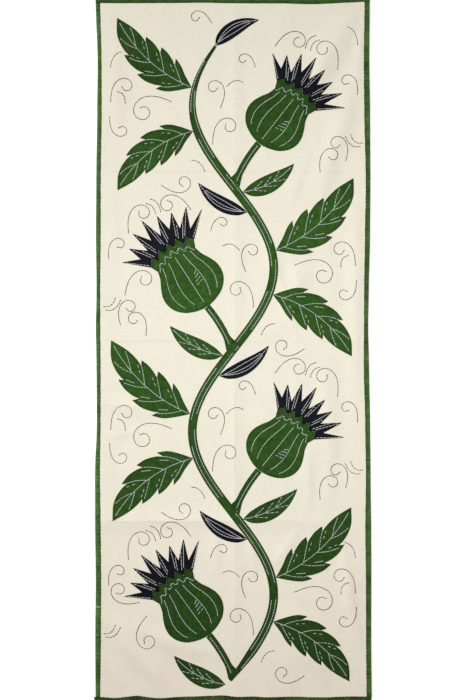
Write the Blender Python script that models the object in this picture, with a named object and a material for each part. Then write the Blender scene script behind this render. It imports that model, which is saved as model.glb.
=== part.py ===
"""Applique panel of cotton cloth, lying face up.

A cream ground cloth is bound on its four sides with a green strip folded round its edge. On it lie
the sewn patches of a flowering vine: a stem that swings from side to side, and at each bend a
branch with a bulb and its dark crown, toothed leaves, a plain leaf and a dark leaf. The cloth keeps
the creases of its storage folds and a few soft pulls, and every patch follows them.

Metres, +Z up. +Y is the panel's top, +X its right side, and z = 0 is what it lies on.
"""

import math
from collections import Counter, namedtuple

import bmesh
import bpy
from mathutils import Vector
from mathutils.geometry import delaunay_2d_cdt

# Cloth
PANEL_WIDTH = 0.500
PANEL_LENGTH = 1.276
CLOTH = 0.0011
LAYER_GAP = 0.0003
STITCH_GAP = 0.0008
END_BOW = 0.0012

# Binding: one strip folded round each edge, so that it has a leg above and a leg below the ground
BINDING_EDGE_GAP = 0.0004
BINDING_BUTT_GAP = 0.0004
BINDING_TOP_STRIP = 0.0080
BINDING_HEIGHT = 3 * CLOTH + 2 * LAYER_GAP
BINDING_ROUND = 0.0014
BINDING_BULGE = 0.0004
STRIP_END_OUT = 0.0024
GROUND_INSET = BINDING_ROUND + BINDING_EDGE_GAP

# Lie of the ground cloth: its edge is raised by the leg beneath it and comes down inside
EDGE_LIFT = CLOTH + LAYER_GAP
EDGE_FALL = 0.045
SIDE_STEP = 0.036
END_STEP = 0.026
RING_STEP = 0.090
FOLD_STEP = 0.034
FOLD_END_WIDTH = 0.35
BORDER_CLEAR = 0.006
BROAD_FOLD = 0.0040
NEAR_SHARE = 0.4
CORNER_X = 0.245

# Vine
STEM_SWING = 0.074
BEND_STEP = 0.297
FIRST_BEND = -0.445
STEM_FOOT = -0.600
STEM_HEAD = 0.552
STEM_WIDTH = 0.015
STEM_FOOT_SHARE = 0.35
STEM_FOOT_TAPER = 0.050
STEM_HEAD_SHARE = 0.30
STEM_HEAD_TAPER = 0.160
STEM_SEGMENTS = 44

# Toothed leaf: shares of its length, and of its half width
LEAF_TEETH = 4
FIRST_TOOTH = 0.03
TOOTH_STEP = 0.20
TOOTH_OVERLAP = 0.05
TOOTH_POINTS = (0.30, 0.65, 1.0)
TOOTH_LOW = 0.66
FIRST_TOOTH_LOW = 0.35
LAST_FULLNESS = 0.93
NOTCH_BACK = 0.012
NOTCH_DEPTH = 0.66

# Bulb and crown, drawn upwards at a length of 1
SEPALS = 5
LIP_HALF = 0.385
LIP_END = 0.955
LIP_HEIGHT = 0.95
LIP_DOME = 0.095
LIP_TOOTH = 0.080
LIP_NOTCH = 0.030
CROWN_SPIKES = 8
CROWN_SPREAD = math.radians(100)
CROWN_CENTRE = 0.66
SPIKE_REACH = 0.93
SPIKE_VARIES = 0.05
SPIKE_TURN = 2.3
NOTCH_REACH = 0.63
NOTCH_VARIES = 0.03
NOTCH_TURN = 1.7

CREAM = (236, 231, 212)
GREEN = (51, 84, 33)
NAVY = (24, 24, 33)

# Outline of the two long sides, top to bottom: height, place of each edge, width of each strip
Side = namedtuple("Side", "y left right left_strip right_strip")
SIDES = (
    Side(0.638, -0.2496, 0.2484, 0.0080, 0.0091),
    Side(0.520, -0.2456, 0.2476, 0.0066, 0.0098),
    Side(0.440, -0.2466, 0.2490, 0.0078, 0.0104),
    Side(0.300, -0.2484, 0.2496, 0.0078, 0.0080),
    Side(0.215, -0.2490, 0.2491, 0.0084, 0.0091),
    Side(0.105, -0.2478, 0.2465, 0.0062, 0.0082),
    Side(0.040, -0.2492, 0.2454, 0.0078, 0.0072),
    Side(-0.026, -0.2478, 0.2471, 0.0071, 0.0095),
    Side(-0.135, -0.2472, 0.2491, 0.0064, 0.0087),
    Side(-0.222, -0.2507, 0.2500, 0.0087, 0.0082),
    Side(-0.331, -0.2503, 0.2511, 0.0098, 0.0105),
    Side(-0.418, -0.2492, 0.2513, 0.0095, 0.0095),
    Side(-0.527, -0.2502, 0.2511, 0.0100, 0.0091),
    Side(-0.638, -0.2496, 0.2520, 0.0080, 0.0091),
)

# Width of the strip along the lower end, left to right
End = namedtuple("End", "x strip")
LOWER_END = (
    End(-0.236, 0.0078),
    End(-0.213, 0.0058),
    End(-0.169, 0.0090),
    End(-0.125, 0.0058),
    End(-0.082, 0.0085),
    End(-0.016, 0.0098),
    End(0.005, 0.0076),
    End(0.071, 0.0070),
    End(0.115, 0.0084),
    End(0.158, 0.0071),
    End(0.224, 0.0084),
)

# Soft folds and creases: a crest from start to end, bowed to its left by bow, that falls to nothing
# at half_width on both sides. At its two ends it has the share ends of its height, and is narrower
Fold = namedtuple("Fold", "name start end bow half_width height ends")
FOLDS = (
    Fold("top right pull", (0.236, 0.624), (0.102, 0.385), -0.014, 0.032, 0.0066, 0.0),
    Fold("right side pull", (0.226, 0.520), (0.148, 0.262), 0.004, 0.028, 0.0054, 0.0),
    Fold("top left pull", (-0.236, 0.626), (-0.196, 0.520), 0.004, 0.022, 0.0034, 0.0),
    Fold("top left roll", (-0.217, 0.570), (-0.212, 0.372), 0.003, 0.022, 0.0036, 0.0),
    Fold("right long roll", (0.222, 0.312), (0.219, -0.130), 0.003, 0.020, 0.0040, 0.0),
    Fold("middle right dimple", (0.066, 0.215), (0.070, 0.098), 0.002, 0.020, 0.0026, 0.0),
    Fold("middle right roll", (0.128, 0.172), (0.090, 0.036), 0.004, 0.026, 0.0032, 0.0),
    Fold("lower right roll", (0.165, -0.010), (0.174, -0.290), 0.004, 0.022, 0.0036, 0.0),
    Fold("lower right ripple", (0.146, -0.138), (0.139, -0.252), 0.0, 0.018, 0.0024, 0.0),
    Fold("left ripple", (-0.200, -0.184), (-0.164, -0.286), 0.003, 0.020, 0.0028, 0.0),
    Fold("left step", (-0.232, -0.100), (-0.104, -0.108), 0.0, 0.020, 0.0024, 0.0),
    Fold("lower middle ripple", (0.046, -0.346), (0.116, -0.420), 0.003, 0.018, 0.0026, 0.0),
    Fold("lower right dip", (0.202, -0.360), (0.218, -0.482), 0.0, 0.020, 0.0032, 0.0),
    Fold("bottom left pull", (-0.230, -0.474), (-0.112, -0.618), -0.010, 0.026, 0.0055, 0.0),
    Fold("bottom left fan", (-0.233, -0.488), (0.002, -0.560), -0.006, 0.024, 0.0030, 0.0),
    Fold("bottom right roll", (0.084, -0.458), (0.180, -0.614), 0.0, 0.032, 0.0050, 0.0),
    Fold("bottom right ripple", (0.048, -0.520), (0.120, -0.618), 0.004, 0.020, 0.0030, 0.0),
    Fold("upper crease, above", (-0.262, 0.347), (0.262, 0.345), 0.002, 0.024, 0.0006, 0.5),
    Fold("upper crease, below", (-0.262, 0.301), (0.262, 0.300), 0.002, 0.024, 0.0005, 0.5),
    Fold("middle crease, above", (-0.420, 0.037), (0.190, 0.035), 0.001, 0.022, 0.0007, 0.0),
    Fold("middle crease, below", (-0.420, -0.005), (0.190, -0.007), 0.001, 0.022, 0.0006, 0.0),
    Fold("lower crease", (-0.480, -0.311), (0.225, -0.313), 0.002, 0.022, 0.0026, 0.0),
    Fold("centre crease", (0.004, 0.780), (0.004, -0.700), 0.002, 0.020, 0.0024, 0.2),
)

# The bends of the stem, from the foot up: the share of full size of what grows there, and the turn
# of its bulb against the others
Bend = namedtuple("Bend", "leaf_share bulb_share lean")
BENDS = (
    Bend(0.97, 1.00, 0.0),
    Bend(1.02, 0.96, 3.0),
    Bend(1.00, 1.03, -3.0),
    Bend(0.96, 0.98, 2.0),
)

# What grows at a bend on the stem's right, mirrored at one on its left: height of its root above
# the bend, side of the stem (1 outside, -1 inside), heading and turn in degrees, length and width
Growth = namedtuple("Growth", "rise side heading turn length width")
UPPER_LEAF = Growth(0.030, 1, 22, 42, 0.196, 0.071)
LOWER_LEAF = Growth(-0.046, 1, -14, -48, 0.186, 0.067)
PLAIN_LEAF = Growth(-0.164, -1, 172, -42, 0.112, 0.032)
DARK_LEAF = Growth(0.106, -1, 172, -46, 0.106, 0.026)
BRANCH = Growth(-0.146, -1, 112, 18, 0.082, 0.012)
BRANCH_FOOT = 0.009
BULB_HEADING = 126
BULB_SIZE = 0.116
TIP_LEAF = Growth(0.0, 0, 0, -48, 0.094, 0.027)

# Outline of a bulb with a length of 1, from its base up to the lip
BULB_PROFILE = (
    (0.00, 0.06),
    (0.03, 0.19),
    (0.10, 0.335),
    (0.21, 0.44),
    (0.34, 0.49),
    (0.47, 0.485),
    (0.60, 0.435),
    (0.72, 0.37),
    (0.84, 0.335),
)


def between(rows, key, value, place):
    """The named column of a table at place, smoothly from row to row; rows are sorted by key."""
    ordered = sorted(rows, key=lambda row: getattr(row, key))
    if place <= getattr(ordered[0], key):
        return getattr(ordered[0], value)
    for low, high in zip(ordered, ordered[1:]):
        if place <= getattr(high, key):
            share = (place - getattr(low, key)) / (getattr(high, key) - getattr(low, key))
            ease = 0.5 - 0.5 * math.cos(math.pi * share)
            return getattr(low, value) + ease * (getattr(high, value) - getattr(low, value))
    return getattr(ordered[-1], value)


def left_edge(y):
    return between(SIDES, "y", "left", y)


def right_edge(y):
    return between(SIDES, "y", "right", y)


def left_inner(y):
    return left_edge(y) + between(SIDES, "y", "left_strip", y)


def right_inner(y):
    return right_edge(y) - between(SIDES, "y", "right_strip", y)


def end_edge(x):
    """Distance of the upper and the lower end from the panel's middle."""
    return PANEL_LENGTH / 2 - END_BOW * (1.0 - (2.0 * x / PANEL_WIDTH) ** 2) * (abs(x) < PANEL_WIDTH / 2)


def top_inner(x):
    return end_edge(x) - BINDING_TOP_STRIP


def bottom_inner(x):
    return -end_edge(x) + between(LOWER_END, "x", "strip", x)


def within_binding(x, y):
    """The nearest place that the binding leaves free."""
    y = min(max(y, bottom_inner(x)), top_inner(x))
    x = min(max(x, left_inner(y)), right_inner(y))
    return x, y


def fold_frame(fold):
    """A fold's length, and its directions along and across the crest."""
    run = Vector(fold.end) - Vector(fold.start)
    along = run.normalized()
    return run.length, along, Vector((-along.y, along.x))


def fold_swell(fold, share):
    """A fold's height at a share of its length, as a share of its full height."""
    return fold.ends + (1.0 - fold.ends) * math.sin(math.pi * min(max(share, 0.0), 1.0))


def fold_reach(fold, share):
    """How far a fold spreads to each side at a share of its length."""
    return fold.half_width * (FOLD_END_WIDTH + (1.0 - FOLD_END_WIDTH) * fold_swell(fold, share))


def fold_height(fold, x, y):
    length, along, across = fold_frame(fold)
    offset = Vector((x, y)) - Vector(fold.start)
    share = offset.dot(along) / length
    if not 0.0 < share < 1.0:
        return 0.0
    aside = offset.dot(across) - fold.bow * 4.0 * share * (1.0 - share)
    across_share = aside / fold_reach(fold, share)
    if abs(across_share) >= 1.0:
        return 0.0
    return fold.height * fold_swell(fold, share) * (0.5 + 0.5 * math.cos(math.pi * across_share))


def lie(x, y):
    """Height of the ground cloth's underside above what the panel lies on."""
    x, y = within_binding(x, y)
    inside = min(x - left_inner(y), right_inner(y) - x, top_inner(x) - y, y - bottom_inner(x))
    lift = EDGE_LIFT * max(0.0, 1.0 - inside / EDGE_FALL)
    return lift + sum(fold_height(fold, x, y) for fold in FOLDS)


def steps(start, end, step):
    """Evenly spaced values from start to end, at most step apart."""
    count = math.ceil(abs(end - start) / step)
    return [start + (end - start) * i / count for i in range(count + 1)]


def merged(values, extra, apart):
    """The values with the extra ones in place of those that stand nearer to one than apart."""
    inner = [v for v in values[1:-1] if all(abs(v - e) > apart for e in extra)]
    return sorted([values[0], values[-1], *inner, *extra])


def turning(root, heading, length, turn, share, aside=0.0):
    """The point at share of a line that turns evenly by turn, aside to its left."""
    if abs(turn) < 1e-6:
        ahead, left = share * length, 0.0
    else:
        radius = length / turn
        ahead, left = radius * math.sin(turn * share), radius * (1.0 - math.cos(turn * share))
    x = root[0] + ahead * math.cos(heading) - left * math.sin(heading)
    y = root[1] + ahead * math.sin(heading) + left * math.cos(heading)
    now = heading + turn * share
    return x - aside * math.sin(now), y + aside * math.cos(now)


def stem_x(y):
    return STEM_SWING * math.cos(math.pi * (y - FIRST_BEND) / BEND_STEP)


def stem_heading(y):
    slope = -STEM_SWING * math.pi / BEND_STEP * math.sin(math.pi * (y - FIRST_BEND) / BEND_STEP)
    return math.atan2(1.0, slope)


def stem_half(y):
    above_foot = STEM_FOOT_SHARE + (1.0 - STEM_FOOT_SHARE) * (y - STEM_FOOT) / STEM_FOOT_TAPER
    below_head = STEM_HEAD_SHARE + (1.0 - STEM_HEAD_SHARE) * (STEM_HEAD - y) / STEM_HEAD_TAPER
    return 0.5 * STEM_WIDTH * min(1.0, above_foot, below_head)


def stem_side(y, aside):
    """A point beside the stem's middle line, aside to the right of it."""
    heading = stem_heading(y)
    return stem_x(y) + aside * math.sin(heading), y - aside * math.cos(heading)


def stem_outline():
    heights = [STEM_FOOT + (STEM_HEAD - STEM_FOOT) * i / STEM_SEGMENTS for i in range(STEM_SEGMENTS + 1)]
    right = [stem_side(y, stem_half(y)) for y in heights]
    left = [stem_side(y, -stem_half(y)) for y in heights]
    return right + left[::-1]


def leaf_fullness(share):
    return math.sin(math.pi * share**0.72) ** 0.75


def toothed_leaf(line, width):
    """A leaf with teeth that point to its tip; line gives a point by share and aside."""
    sides = []
    for side in (-1, 1):
        edge = []
        for i in range(LEAF_TEETH):
            root = FIRST_TOOTH + TOOTH_STEP * i
            low = TOOTH_LOW if i else FIRST_TOOTH_LOW
            for part in TOOTH_POINTS:
                share = root + (TOOTH_STEP + TOOTH_OVERLAP) * part
                grown = low + (1.0 - low) * math.sin(0.5 * math.pi * part)
                half = 0.5 * width * leaf_fullness(min(share, LAST_FULLNESS)) * grown
                edge.append(line(share, side * half))
            if i < LEAF_TEETH - 1:
                notch = root + TOOTH_STEP
                half = 0.5 * width * leaf_fullness(notch) * NOTCH_DEPTH
                edge.append(line(notch + NOTCH_BACK, side * half))
        sides.append(edge)
    return [line(0.0, 0.0), *sides[0], line(1.0, 0.0), *sides[1][::-1]]


def plain_leaf(line, width, points=9):
    half = [0.5 * width * math.sin(math.pi * (i / points) ** 0.8) ** 0.9 for i in range(1, points)]
    right = [line(i / points, -w) for i, w in enumerate(half, 1)]
    left = [line(i / points, w) for i, w in enumerate(half, 1)]
    return [line(0.0, 0.0), *right, line(1.0, 0.0), *left[::-1]]


def branch_strip(line, width, upper_foot, lower_foot, segments=5):
    """An even strip that spreads at its root to two points beside the stem."""
    right = [line(i / segments, -0.5 * width) for i in range(1, segments + 1)]
    left = [line(i / segments, 0.5 * width) for i in range(1, segments + 1)]
    return [upper_foot, *right, *left[::-1], lower_foot]


def bulb_rim():
    """The toothed lip of a bulb of length 1, right to left."""
    teeth = 2 * SEPALS
    rim = [(LIP_HALF, LIP_END)]
    for i in range(1, teeth):
        share = i / teeth
        dome = LIP_DOME * math.sin(math.pi * share)
        rim.append((LIP_HALF * (1.0 - 2.0 * share), LIP_HEIGHT + dome + (LIP_TOOTH if i % 2 else -LIP_NOTCH)))
    return rim + [(-LIP_HALF, LIP_END)]


def bulb_outline():
    right = [(half, height) for height, half in BULB_PROFILE]
    left = [(-half, height) for half, height in right[::-1]]
    return right + bulb_rim() + left


def moved_right(line, gap):
    """An open line moved gap to its right, with mitred corners."""
    runs = [(Vector(b) - Vector(a)).normalized() for a, b in zip(line, line[1:])]
    moved = []
    for here, into, out in zip(line, runs[:1] + runs, runs + runs[-1:]):
        mitre = (Vector((into.y, -into.x)) + Vector((out.y, -out.x))).normalized()
        reach = gap / mitre.dot(Vector((out.y, -out.x)))
        moved.append((here[0] + mitre.x * reach, here[1] + mitre.y * reach))
    return moved


def crown_outline(size):
    """Dark spikes that stand up from the lip of a bulb of that size, drawn at a length of 1."""
    lower = moved_right(bulb_rim(), STITCH_GAP / size)
    upper = []
    steps_across = 2 * CROWN_SPIKES - 2
    for i in range(steps_across + 1):
        angle = CROWN_SPREAD * (i / steps_across - 0.5)
        tip = SPIKE_REACH + SPIKE_VARIES * math.sin(SPIKE_TURN * i)
        notch = NOTCH_REACH + NOTCH_VARIES * math.sin(NOTCH_TURN * i)
        reach = notch if i % 2 else tip
        upper.append((reach * math.sin(angle), CROWN_CENTRE + reach * math.cos(angle)))
    return lower + upper


def set_in_place(outline, base, heading, size):
    """An outline drawn upwards from 0, 0, scaled and turned to stand on base."""
    turn = heading - math.pi / 2
    c, s = size * math.cos(turn), size * math.sin(turn)
    return [(base[0] + c * u - s * v, base[1] + s * u + c * v) for u, v in outline]


def beside_stem(growth, hand, y):
    return stem_side(y, hand * growth.side * (stem_half(y) + STITCH_GAP))


def growth_line(growth, bend, share_of_size):
    """The middle line of what grows at a bend, as a function of share and aside."""
    hand = 1 if bend % 2 == 0 else -1
    root = beside_stem(growth, hand, FIRST_BEND + bend * BEND_STEP + growth.rise)
    heading = math.radians(growth.heading if hand > 0 else 180 - growth.heading)
    turn = hand * math.radians(growth.turn)
    length = growth.length * share_of_size
    return lambda share, aside: turning(root, heading, length, turn, share, hand * aside)


def leaf_patches(bend):
    """Name, outline and colour of the leaves at a bend; the stem's tip stands for the last dark one."""
    share = BENDS[bend].leaf_share
    patches = []
    for name, growth in (("lower_leaf", LOWER_LEAF), ("upper_leaf", UPPER_LEAF)):
        outline = toothed_leaf(growth_line(growth, bend, share), growth.width * share)
        patches.append((f"{name}_{bend + 1}", outline, "green"))
    outline = plain_leaf(growth_line(PLAIN_LEAF, bend, share), PLAIN_LEAF.width)
    patches.append((f"plain_leaf_{bend + 1}", outline, "green"))
    if bend < len(BENDS) - 1:
        outline = plain_leaf(growth_line(DARK_LEAF, bend, share), DARK_LEAF.width)
        patches.append((f"dark_leaf_{bend + 1}", outline, "navy"))
    return patches


def bulb_patches(bend):
    """Name, outline and colour of a branch and of the bulb and crown that it carries."""
    hand = 1 if bend % 2 == 0 else -1
    row = BENDS[bend]
    line = growth_line(BRANCH, bend, 1.0)
    y = FIRST_BEND + bend * BEND_STEP + BRANCH.rise
    feet = [beside_stem(BRANCH, hand, y + BRANCH_FOOT), beside_stem(BRANCH, hand, y - BRANCH_FOOT)]
    branch = branch_strip(line, BRANCH.width, *feet)
    size = BULB_SIZE * row.bulb_share
    base = line(1.0 + 2 * STITCH_GAP / BRANCH.length, 0.0)
    heading = math.radians(90 + hand * (BULB_HEADING - 90 + row.lean))
    return [
        (f"branch_{bend + 1}", branch, "green"),
        (f"bulb_{bend + 1}", set_in_place(bulb_outline(), base, heading, size), "green"),
        (f"crown_{bend + 1}", set_in_place(crown_outline(size), base, heading, size), "navy"),
    ]


def tip_outline():
    root = stem_side(STEM_HEAD + STITCH_GAP, 0.0)
    heading, turn = stem_heading(STEM_HEAD), math.radians(TIP_LEAF.turn)
    return plain_leaf(lambda share, aside: turning(root, heading, TIP_LEAF.length, turn, share, aside),
                      TIP_LEAF.width)


def vine_patches():
    """Name, outline and colour of every patch."""
    patches = [("stem", stem_outline(), "green"), ("dark_leaf_4", tip_outline(), "navy")]
    for bend in range(len(BENDS)):
        patches += leaf_patches(bend) + bulb_patches(bend)
    return patches


def side_heights():
    """Where the two side strips have their sections: evenly, and on the crests and feet of creases."""
    low = bottom_inner(CORNER_X) + BINDING_BUTT_GAP
    high = top_inner(CORNER_X) - BINDING_BUTT_GAP
    crests = [fold.start[1] for fold in FOLDS if fold.start[0] < -0.5 * PANEL_WIDTH]
    return merged(steps(low, high, SIDE_STEP), crests, NEAR_SHARE * SIDE_STEP)


def end_places():
    """Where the two end strips have their sections, from inner corner to inner corner."""
    y = 0.5 * PANEL_LENGTH
    crests = [fold.start[0] for fold in FOLDS if fold.start[1] > 0.5 * PANEL_LENGTH]
    return merged(steps(left_inner(-y), right_inner(-y), END_STEP), crests, NEAR_SHARE * END_STEP)


class Plan:
    """Points, edges and rings of the flat layout, made one net of triangles."""

    def __init__(self):
        self.points = []
        self.edges = []
        self.rings = []

    def point(self, x, y):
        self.points.append(Vector((x, y)))
        return len(self.points) - 1

    def run(self, places):
        numbers = [self.point(x, y) for x, y in places]
        self.edges += list(zip(numbers, numbers[1:]))
        return numbers

    def ring(self, places):
        """A closed outline, kept counterclockwise."""
        numbers = [self.point(x, y) for x, y in places]
        area = sum(a[0] * b[1] - b[0] * a[1] for a, b in zip(places, places[1:] + places[:1]))
        self.rings.append(numbers if area > 0 else numbers[::-1])

    def add_border(self):
        """The cloth's own outline, and the line along which the binding's legs end."""
        heights, places = side_heights(), end_places()
        left = [(left_edge(y) + GROUND_INSET, y) for y in heights]
        right = [(right_edge(y) - GROUND_INSET, y) for y in heights]
        top = [(x, end_edge(x) - GROUND_INSET) for x in places]
        bottom = [(x, GROUND_INSET - end_edge(x)) for x in places]
        top_y, bottom_y = top[0][1], bottom[0][1]
        corners = {
            "lower left": (left[0][0], bottom_y),
            "lower right": (right[0][0], bottom_y),
            "upper right": (right[-1][0], top_y),
            "upper left": (left[-1][0], top_y),
        }
        self.ring([
            corners["lower left"], *bottom, corners["lower right"], *right,
            corners["upper right"], *top[::-1], corners["upper left"], *left[::-1],
        ])
        inner_left = [(left_inner(y), y) for y in heights]
        inner_right = [(right_inner(y), y) for y in heights]
        inner_top = [(x, top_inner(x)) for x in places]
        inner_bottom = [(x, bottom_inner(x)) for x in places]
        for inner in (inner_left, inner_right, inner_top, inner_bottom):
            self.run(inner)

    def add_ring_inside(self):
        """The line along which the raised edge has come down."""
        ys = steps(EDGE_FALL - PANEL_LENGTH / 2, PANEL_LENGTH / 2 - EDGE_FALL, RING_STEP)
        for y in ys:
            y = min(max(y, bottom_inner(0) + EDGE_FALL), top_inner(0) - EDGE_FALL)
            self.point(left_inner(y) + EDGE_FALL, y)
            self.point(right_inner(y) - EDGE_FALL, y)

    def add_folds(self):
        """The crest and the feet of each fold, and the middle of a broad one's flanks."""
        for fold in FOLDS:
            length, along, across = fold_frame(fold)
            asides = (-1.0, -0.5, 0.0, 0.5, 1.0) if fold.height >= BROAD_FOLD else (-1.0, 0.0, 1.0)
            for aside in asides:
                numbers = []
                for reach in steps(0.0, length, FOLD_STEP):
                    share = reach / length
                    off = aside * fold_reach(fold, share) + fold.bow * 4.0 * share * (1.0 - share)
                    place = Vector(fold.start) + along * reach + across * off
                    clear = min(
                        place.x - left_inner(place.y), right_inner(place.y) - place.x,
                        top_inner(place.x) - place.y, place.y - bottom_inner(place.x),
                    )
                    if clear > BORDER_CLEAR:
                        numbers.append(self.point(*place))
                if aside == 0.0:
                    self.edges += list(zip(numbers, numbers[1:]))

    def triangles(self):
        """The net's points, and for each of its triangles the rings that it lies in."""
        points, _, faces, _, _, rings = delaunay_2d_cdt(
            self.points, self.edges, self.rings, 0, 1e-6, True
        )
        return points, [(tuple(face), ring) for face, ring in zip(faces, rings) if 0 in ring]


def srgb(colour):
    """A colour of 0 to 255 as the linear values that a shader takes."""
    linear = [c / 255 / 12.92 if c < 11 else ((c / 255 + 0.055) / 1.055) ** 2.4 for c in colour]
    return (*linear, 1.0)


def cotton(name, colour):
    material = bpy.data.materials.new(name)
    material.use_nodes = True
    shader = material.node_tree.nodes["Principled BSDF"]
    shader.inputs["Base Color"].default_value = srgb(colour)
    shader.inputs["Roughness"].default_value = 0.9
    shader.inputs["Metallic"].default_value = 0.0
    return material


def add_object(name, mesh, material, parent):
    mesh.materials.append(material)
    part = bpy.data.objects.new(name, mesh)
    part.parent = parent
    bpy.context.collection.objects.link(part)
    return part


def slab(name, points, faces, low, high):
    """A layer of cloth over some triangles of the net, its underside low above the lie of the
    ground and its face high above it."""
    used = sorted({corner for face in faces for corner in face})
    row = {corner: i for i, corner in enumerate(used)}
    lies = [lie(*points[corner]) for corner in used]
    count = len(used)
    under = [(points[c].x, points[c].y, z + low) for c, z in zip(used, lies)]
    over = [(points[c].x, points[c].y, z + high) for c, z in zip(used, lies)]
    polygons = []
    borders = Counter()
    for a, b, c in faces:
        polygons.append((row[a] + count, row[b] + count, row[c] + count))
        polygons.append((row[c], row[b], row[a]))
        borders.update([(a, b), (b, c), (c, a)])
    for a, b in borders:
        if (b, a) not in borders:
            polygons.append((row[a], row[b], row[b] + count, row[a] + count))
    mesh = bpy.data.meshes.new(name)
    mesh.from_pydata(under + over, [], polygons)
    return mesh


def binding_section(strip):
    """Points of the strip's section as inward from the panel's edge and up, once round."""
    top = BINDING_HEIGHT
    return (
        (strip, 0.0),
        (BINDING_ROUND, 0.0),
        (BINDING_BULGE, 0.25 * top),
        (0.0, 0.5 * top),
        (BINDING_BULGE, 0.75 * top),
        (BINDING_ROUND, top),
        (strip, top),
        (strip, top - CLOTH),
        (BINDING_ROUND, top - CLOTH),
        (BINDING_ROUND, CLOTH),
        (strip, CLOTH),
    )


def binding_strip(name, stations):
    """A strip through stations, each the outer and the inner place of its section."""
    form = bmesh.new()
    sections = []
    for outer, inner in stations:
        outer, inner = Vector(outer), Vector(inner)
        inward = (inner - outer).normalized()
        base = lie(*inner) - EDGE_LIFT
        ring = []
        for depth, height in binding_section((inner - outer).length):
            place = outer + inward * depth
            ring.append(form.verts.new((place.x, place.y, base + height)))
        sections.append(ring)
    for ring, following in zip(sections, sections[1:]):
        for i, corner in enumerate(ring):
            beside = (i + 1) % len(ring)
            form.faces.new((corner, ring[beside], following[beside], following[i]))
    form.faces.new(sections[0][::-1])
    form.faces.new(sections[-1])
    bmesh.ops.recalc_face_normals(form, faces=form.faces)
    bmesh.ops.triangulate(form, faces=form.faces)
    mesh = bpy.data.meshes.new(name)
    form.to_mesh(mesh)
    form.free()
    return mesh


def binding_stations():
    """The stations of the four strips, by name."""
    heights, places = side_heights(), end_places()
    half = 0.5 * PANEL_LENGTH
    top = [left_edge(half), *places, right_edge(half)]
    bottom = [left_edge(-half) - STRIP_END_OUT, *places, right_edge(-half)]
    return {
        "binding_left": [((left_edge(y), y), (left_inner(y), y)) for y in heights],
        "binding_right": [((right_edge(y), y), (right_inner(y), y)) for y in heights],
        "binding_top": [((x, end_edge(x)), (x, top_inner(x))) for x in top],
        "binding_bottom": [((x, -end_edge(x)), (x, bottom_inner(x))) for x in bottom],
    }


def build():
    for old in list(bpy.data.objects):
        bpy.data.objects.remove(old, do_unlink=True)
    panel = bpy.data.objects.new("applique_panel", None)
    bpy.context.collection.objects.link(panel)
    colours = {
        "cream": cotton("cream_cotton", CREAM),
        "green": cotton("green_cotton", GREEN),
        "navy": cotton("navy_cotton", NAVY),
    }
    patches = vine_patches()
    plan = Plan()
    plan.add_border()
    plan.add_ring_inside()
    plan.add_folds()
    for _, outline, _ in patches:
        plan.ring(outline)
    points, net = plan.triangles()

    ground = slab("ground_cloth", points, [face for face, _ in net], 0.0, CLOTH)
    add_object("ground_cloth", ground, colours["cream"], panel)
    for number, (name, _, colour) in enumerate(patches, 1):
        faces = [face for face, rings in net if number in rings]
        over = CLOTH + LAYER_GAP
        mesh = slab(name, points, faces, over, over + CLOTH)
        add_object(name, mesh, colours[colour], panel)
    for name, stations in binding_stations().items():
        add_object(name, binding_strip(name, stations), colours["green"], panel)


build()
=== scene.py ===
"""Looks of a cotton applique panel that lies face up on a pale floor.

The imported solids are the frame. Over them come the ground cloth, the sewn patches with turned edges,
the folded binding, the backstitched lines and the hem stitches, each on the folds of its solid.
Metres, +Z up, +Y the panel's top.
"""

from __future__ import annotations

import logging
import math
from collections.abc import Callable, Iterable, Sequence
from dataclasses import dataclass, field
from enum import Enum

import bmesh
import bpy
import numpy as np
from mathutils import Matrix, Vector, noise
from mathutils.bvhtree import BVHTree
from mathutils.geometry import delaunay_2d_cdt


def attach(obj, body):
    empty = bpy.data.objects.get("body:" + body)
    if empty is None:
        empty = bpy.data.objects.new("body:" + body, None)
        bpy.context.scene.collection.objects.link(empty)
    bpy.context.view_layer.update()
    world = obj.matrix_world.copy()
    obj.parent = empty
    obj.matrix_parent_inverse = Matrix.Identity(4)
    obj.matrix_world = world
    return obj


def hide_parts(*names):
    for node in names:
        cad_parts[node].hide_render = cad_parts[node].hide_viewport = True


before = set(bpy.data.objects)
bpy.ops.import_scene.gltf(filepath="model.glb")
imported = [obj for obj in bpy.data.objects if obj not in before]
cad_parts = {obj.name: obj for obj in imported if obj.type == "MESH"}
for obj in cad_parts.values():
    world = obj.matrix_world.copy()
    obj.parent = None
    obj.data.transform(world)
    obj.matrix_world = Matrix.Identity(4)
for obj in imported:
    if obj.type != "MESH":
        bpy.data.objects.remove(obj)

log = logging.getLogger("applique_panel")

Pair = tuple[float, float]
Triple = tuple[float, float, float]
Run = list[Pair]
Midline = Callable[[float, float], Pair]
Colour = tuple[int, int, int]
Socket = bpy.types.NodeSocket
Mesh = bpy.types.Mesh
Piece = bpy.types.Object
Material = bpy.types.Material

MM = 0.001
WHITE = (1.0, 1.0, 1.0, 1.0)
STEM_WIDTH = 0.015
HALF_WIDTH = 0.25
CRUMPLE_PLANE, RUFFLE_PLANE, BLOTCH_PLANE = 3.1, 7.7, 5.0
CLOUD_ROUGHNESS = 0.55


class Finish(Enum):
    """The record's cotton finishes."""

    CREAM = "cream_cotton"
    GREEN = "green_cotton"
    NAVY = "navy_cotton"


class FoldKind(Enum):
    """Which way a pressed storage fold points."""

    RIDGE = "ridge"
    VALLEY = "valley"


class Side(Enum):
    """The four bound edges: axis that the strip runs along, and the sign of its outward direction."""

    LEFT = (1, -1)
    RIGHT = (1, 1)
    TOP = (0, 1)
    BOTTOM = (0, -1)


def linear(colour: Colour) -> tuple[float, float, float, float]:
    """Turn a screen colour of 0 to 255 into the linear values that a shader takes."""
    shares = [c / 255 for c in colour]
    return (*[s / 12.92 if s < 0.04045 else ((s + 0.055) / 1.055) ** 2.4 for s in shares], 1.0)


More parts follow.
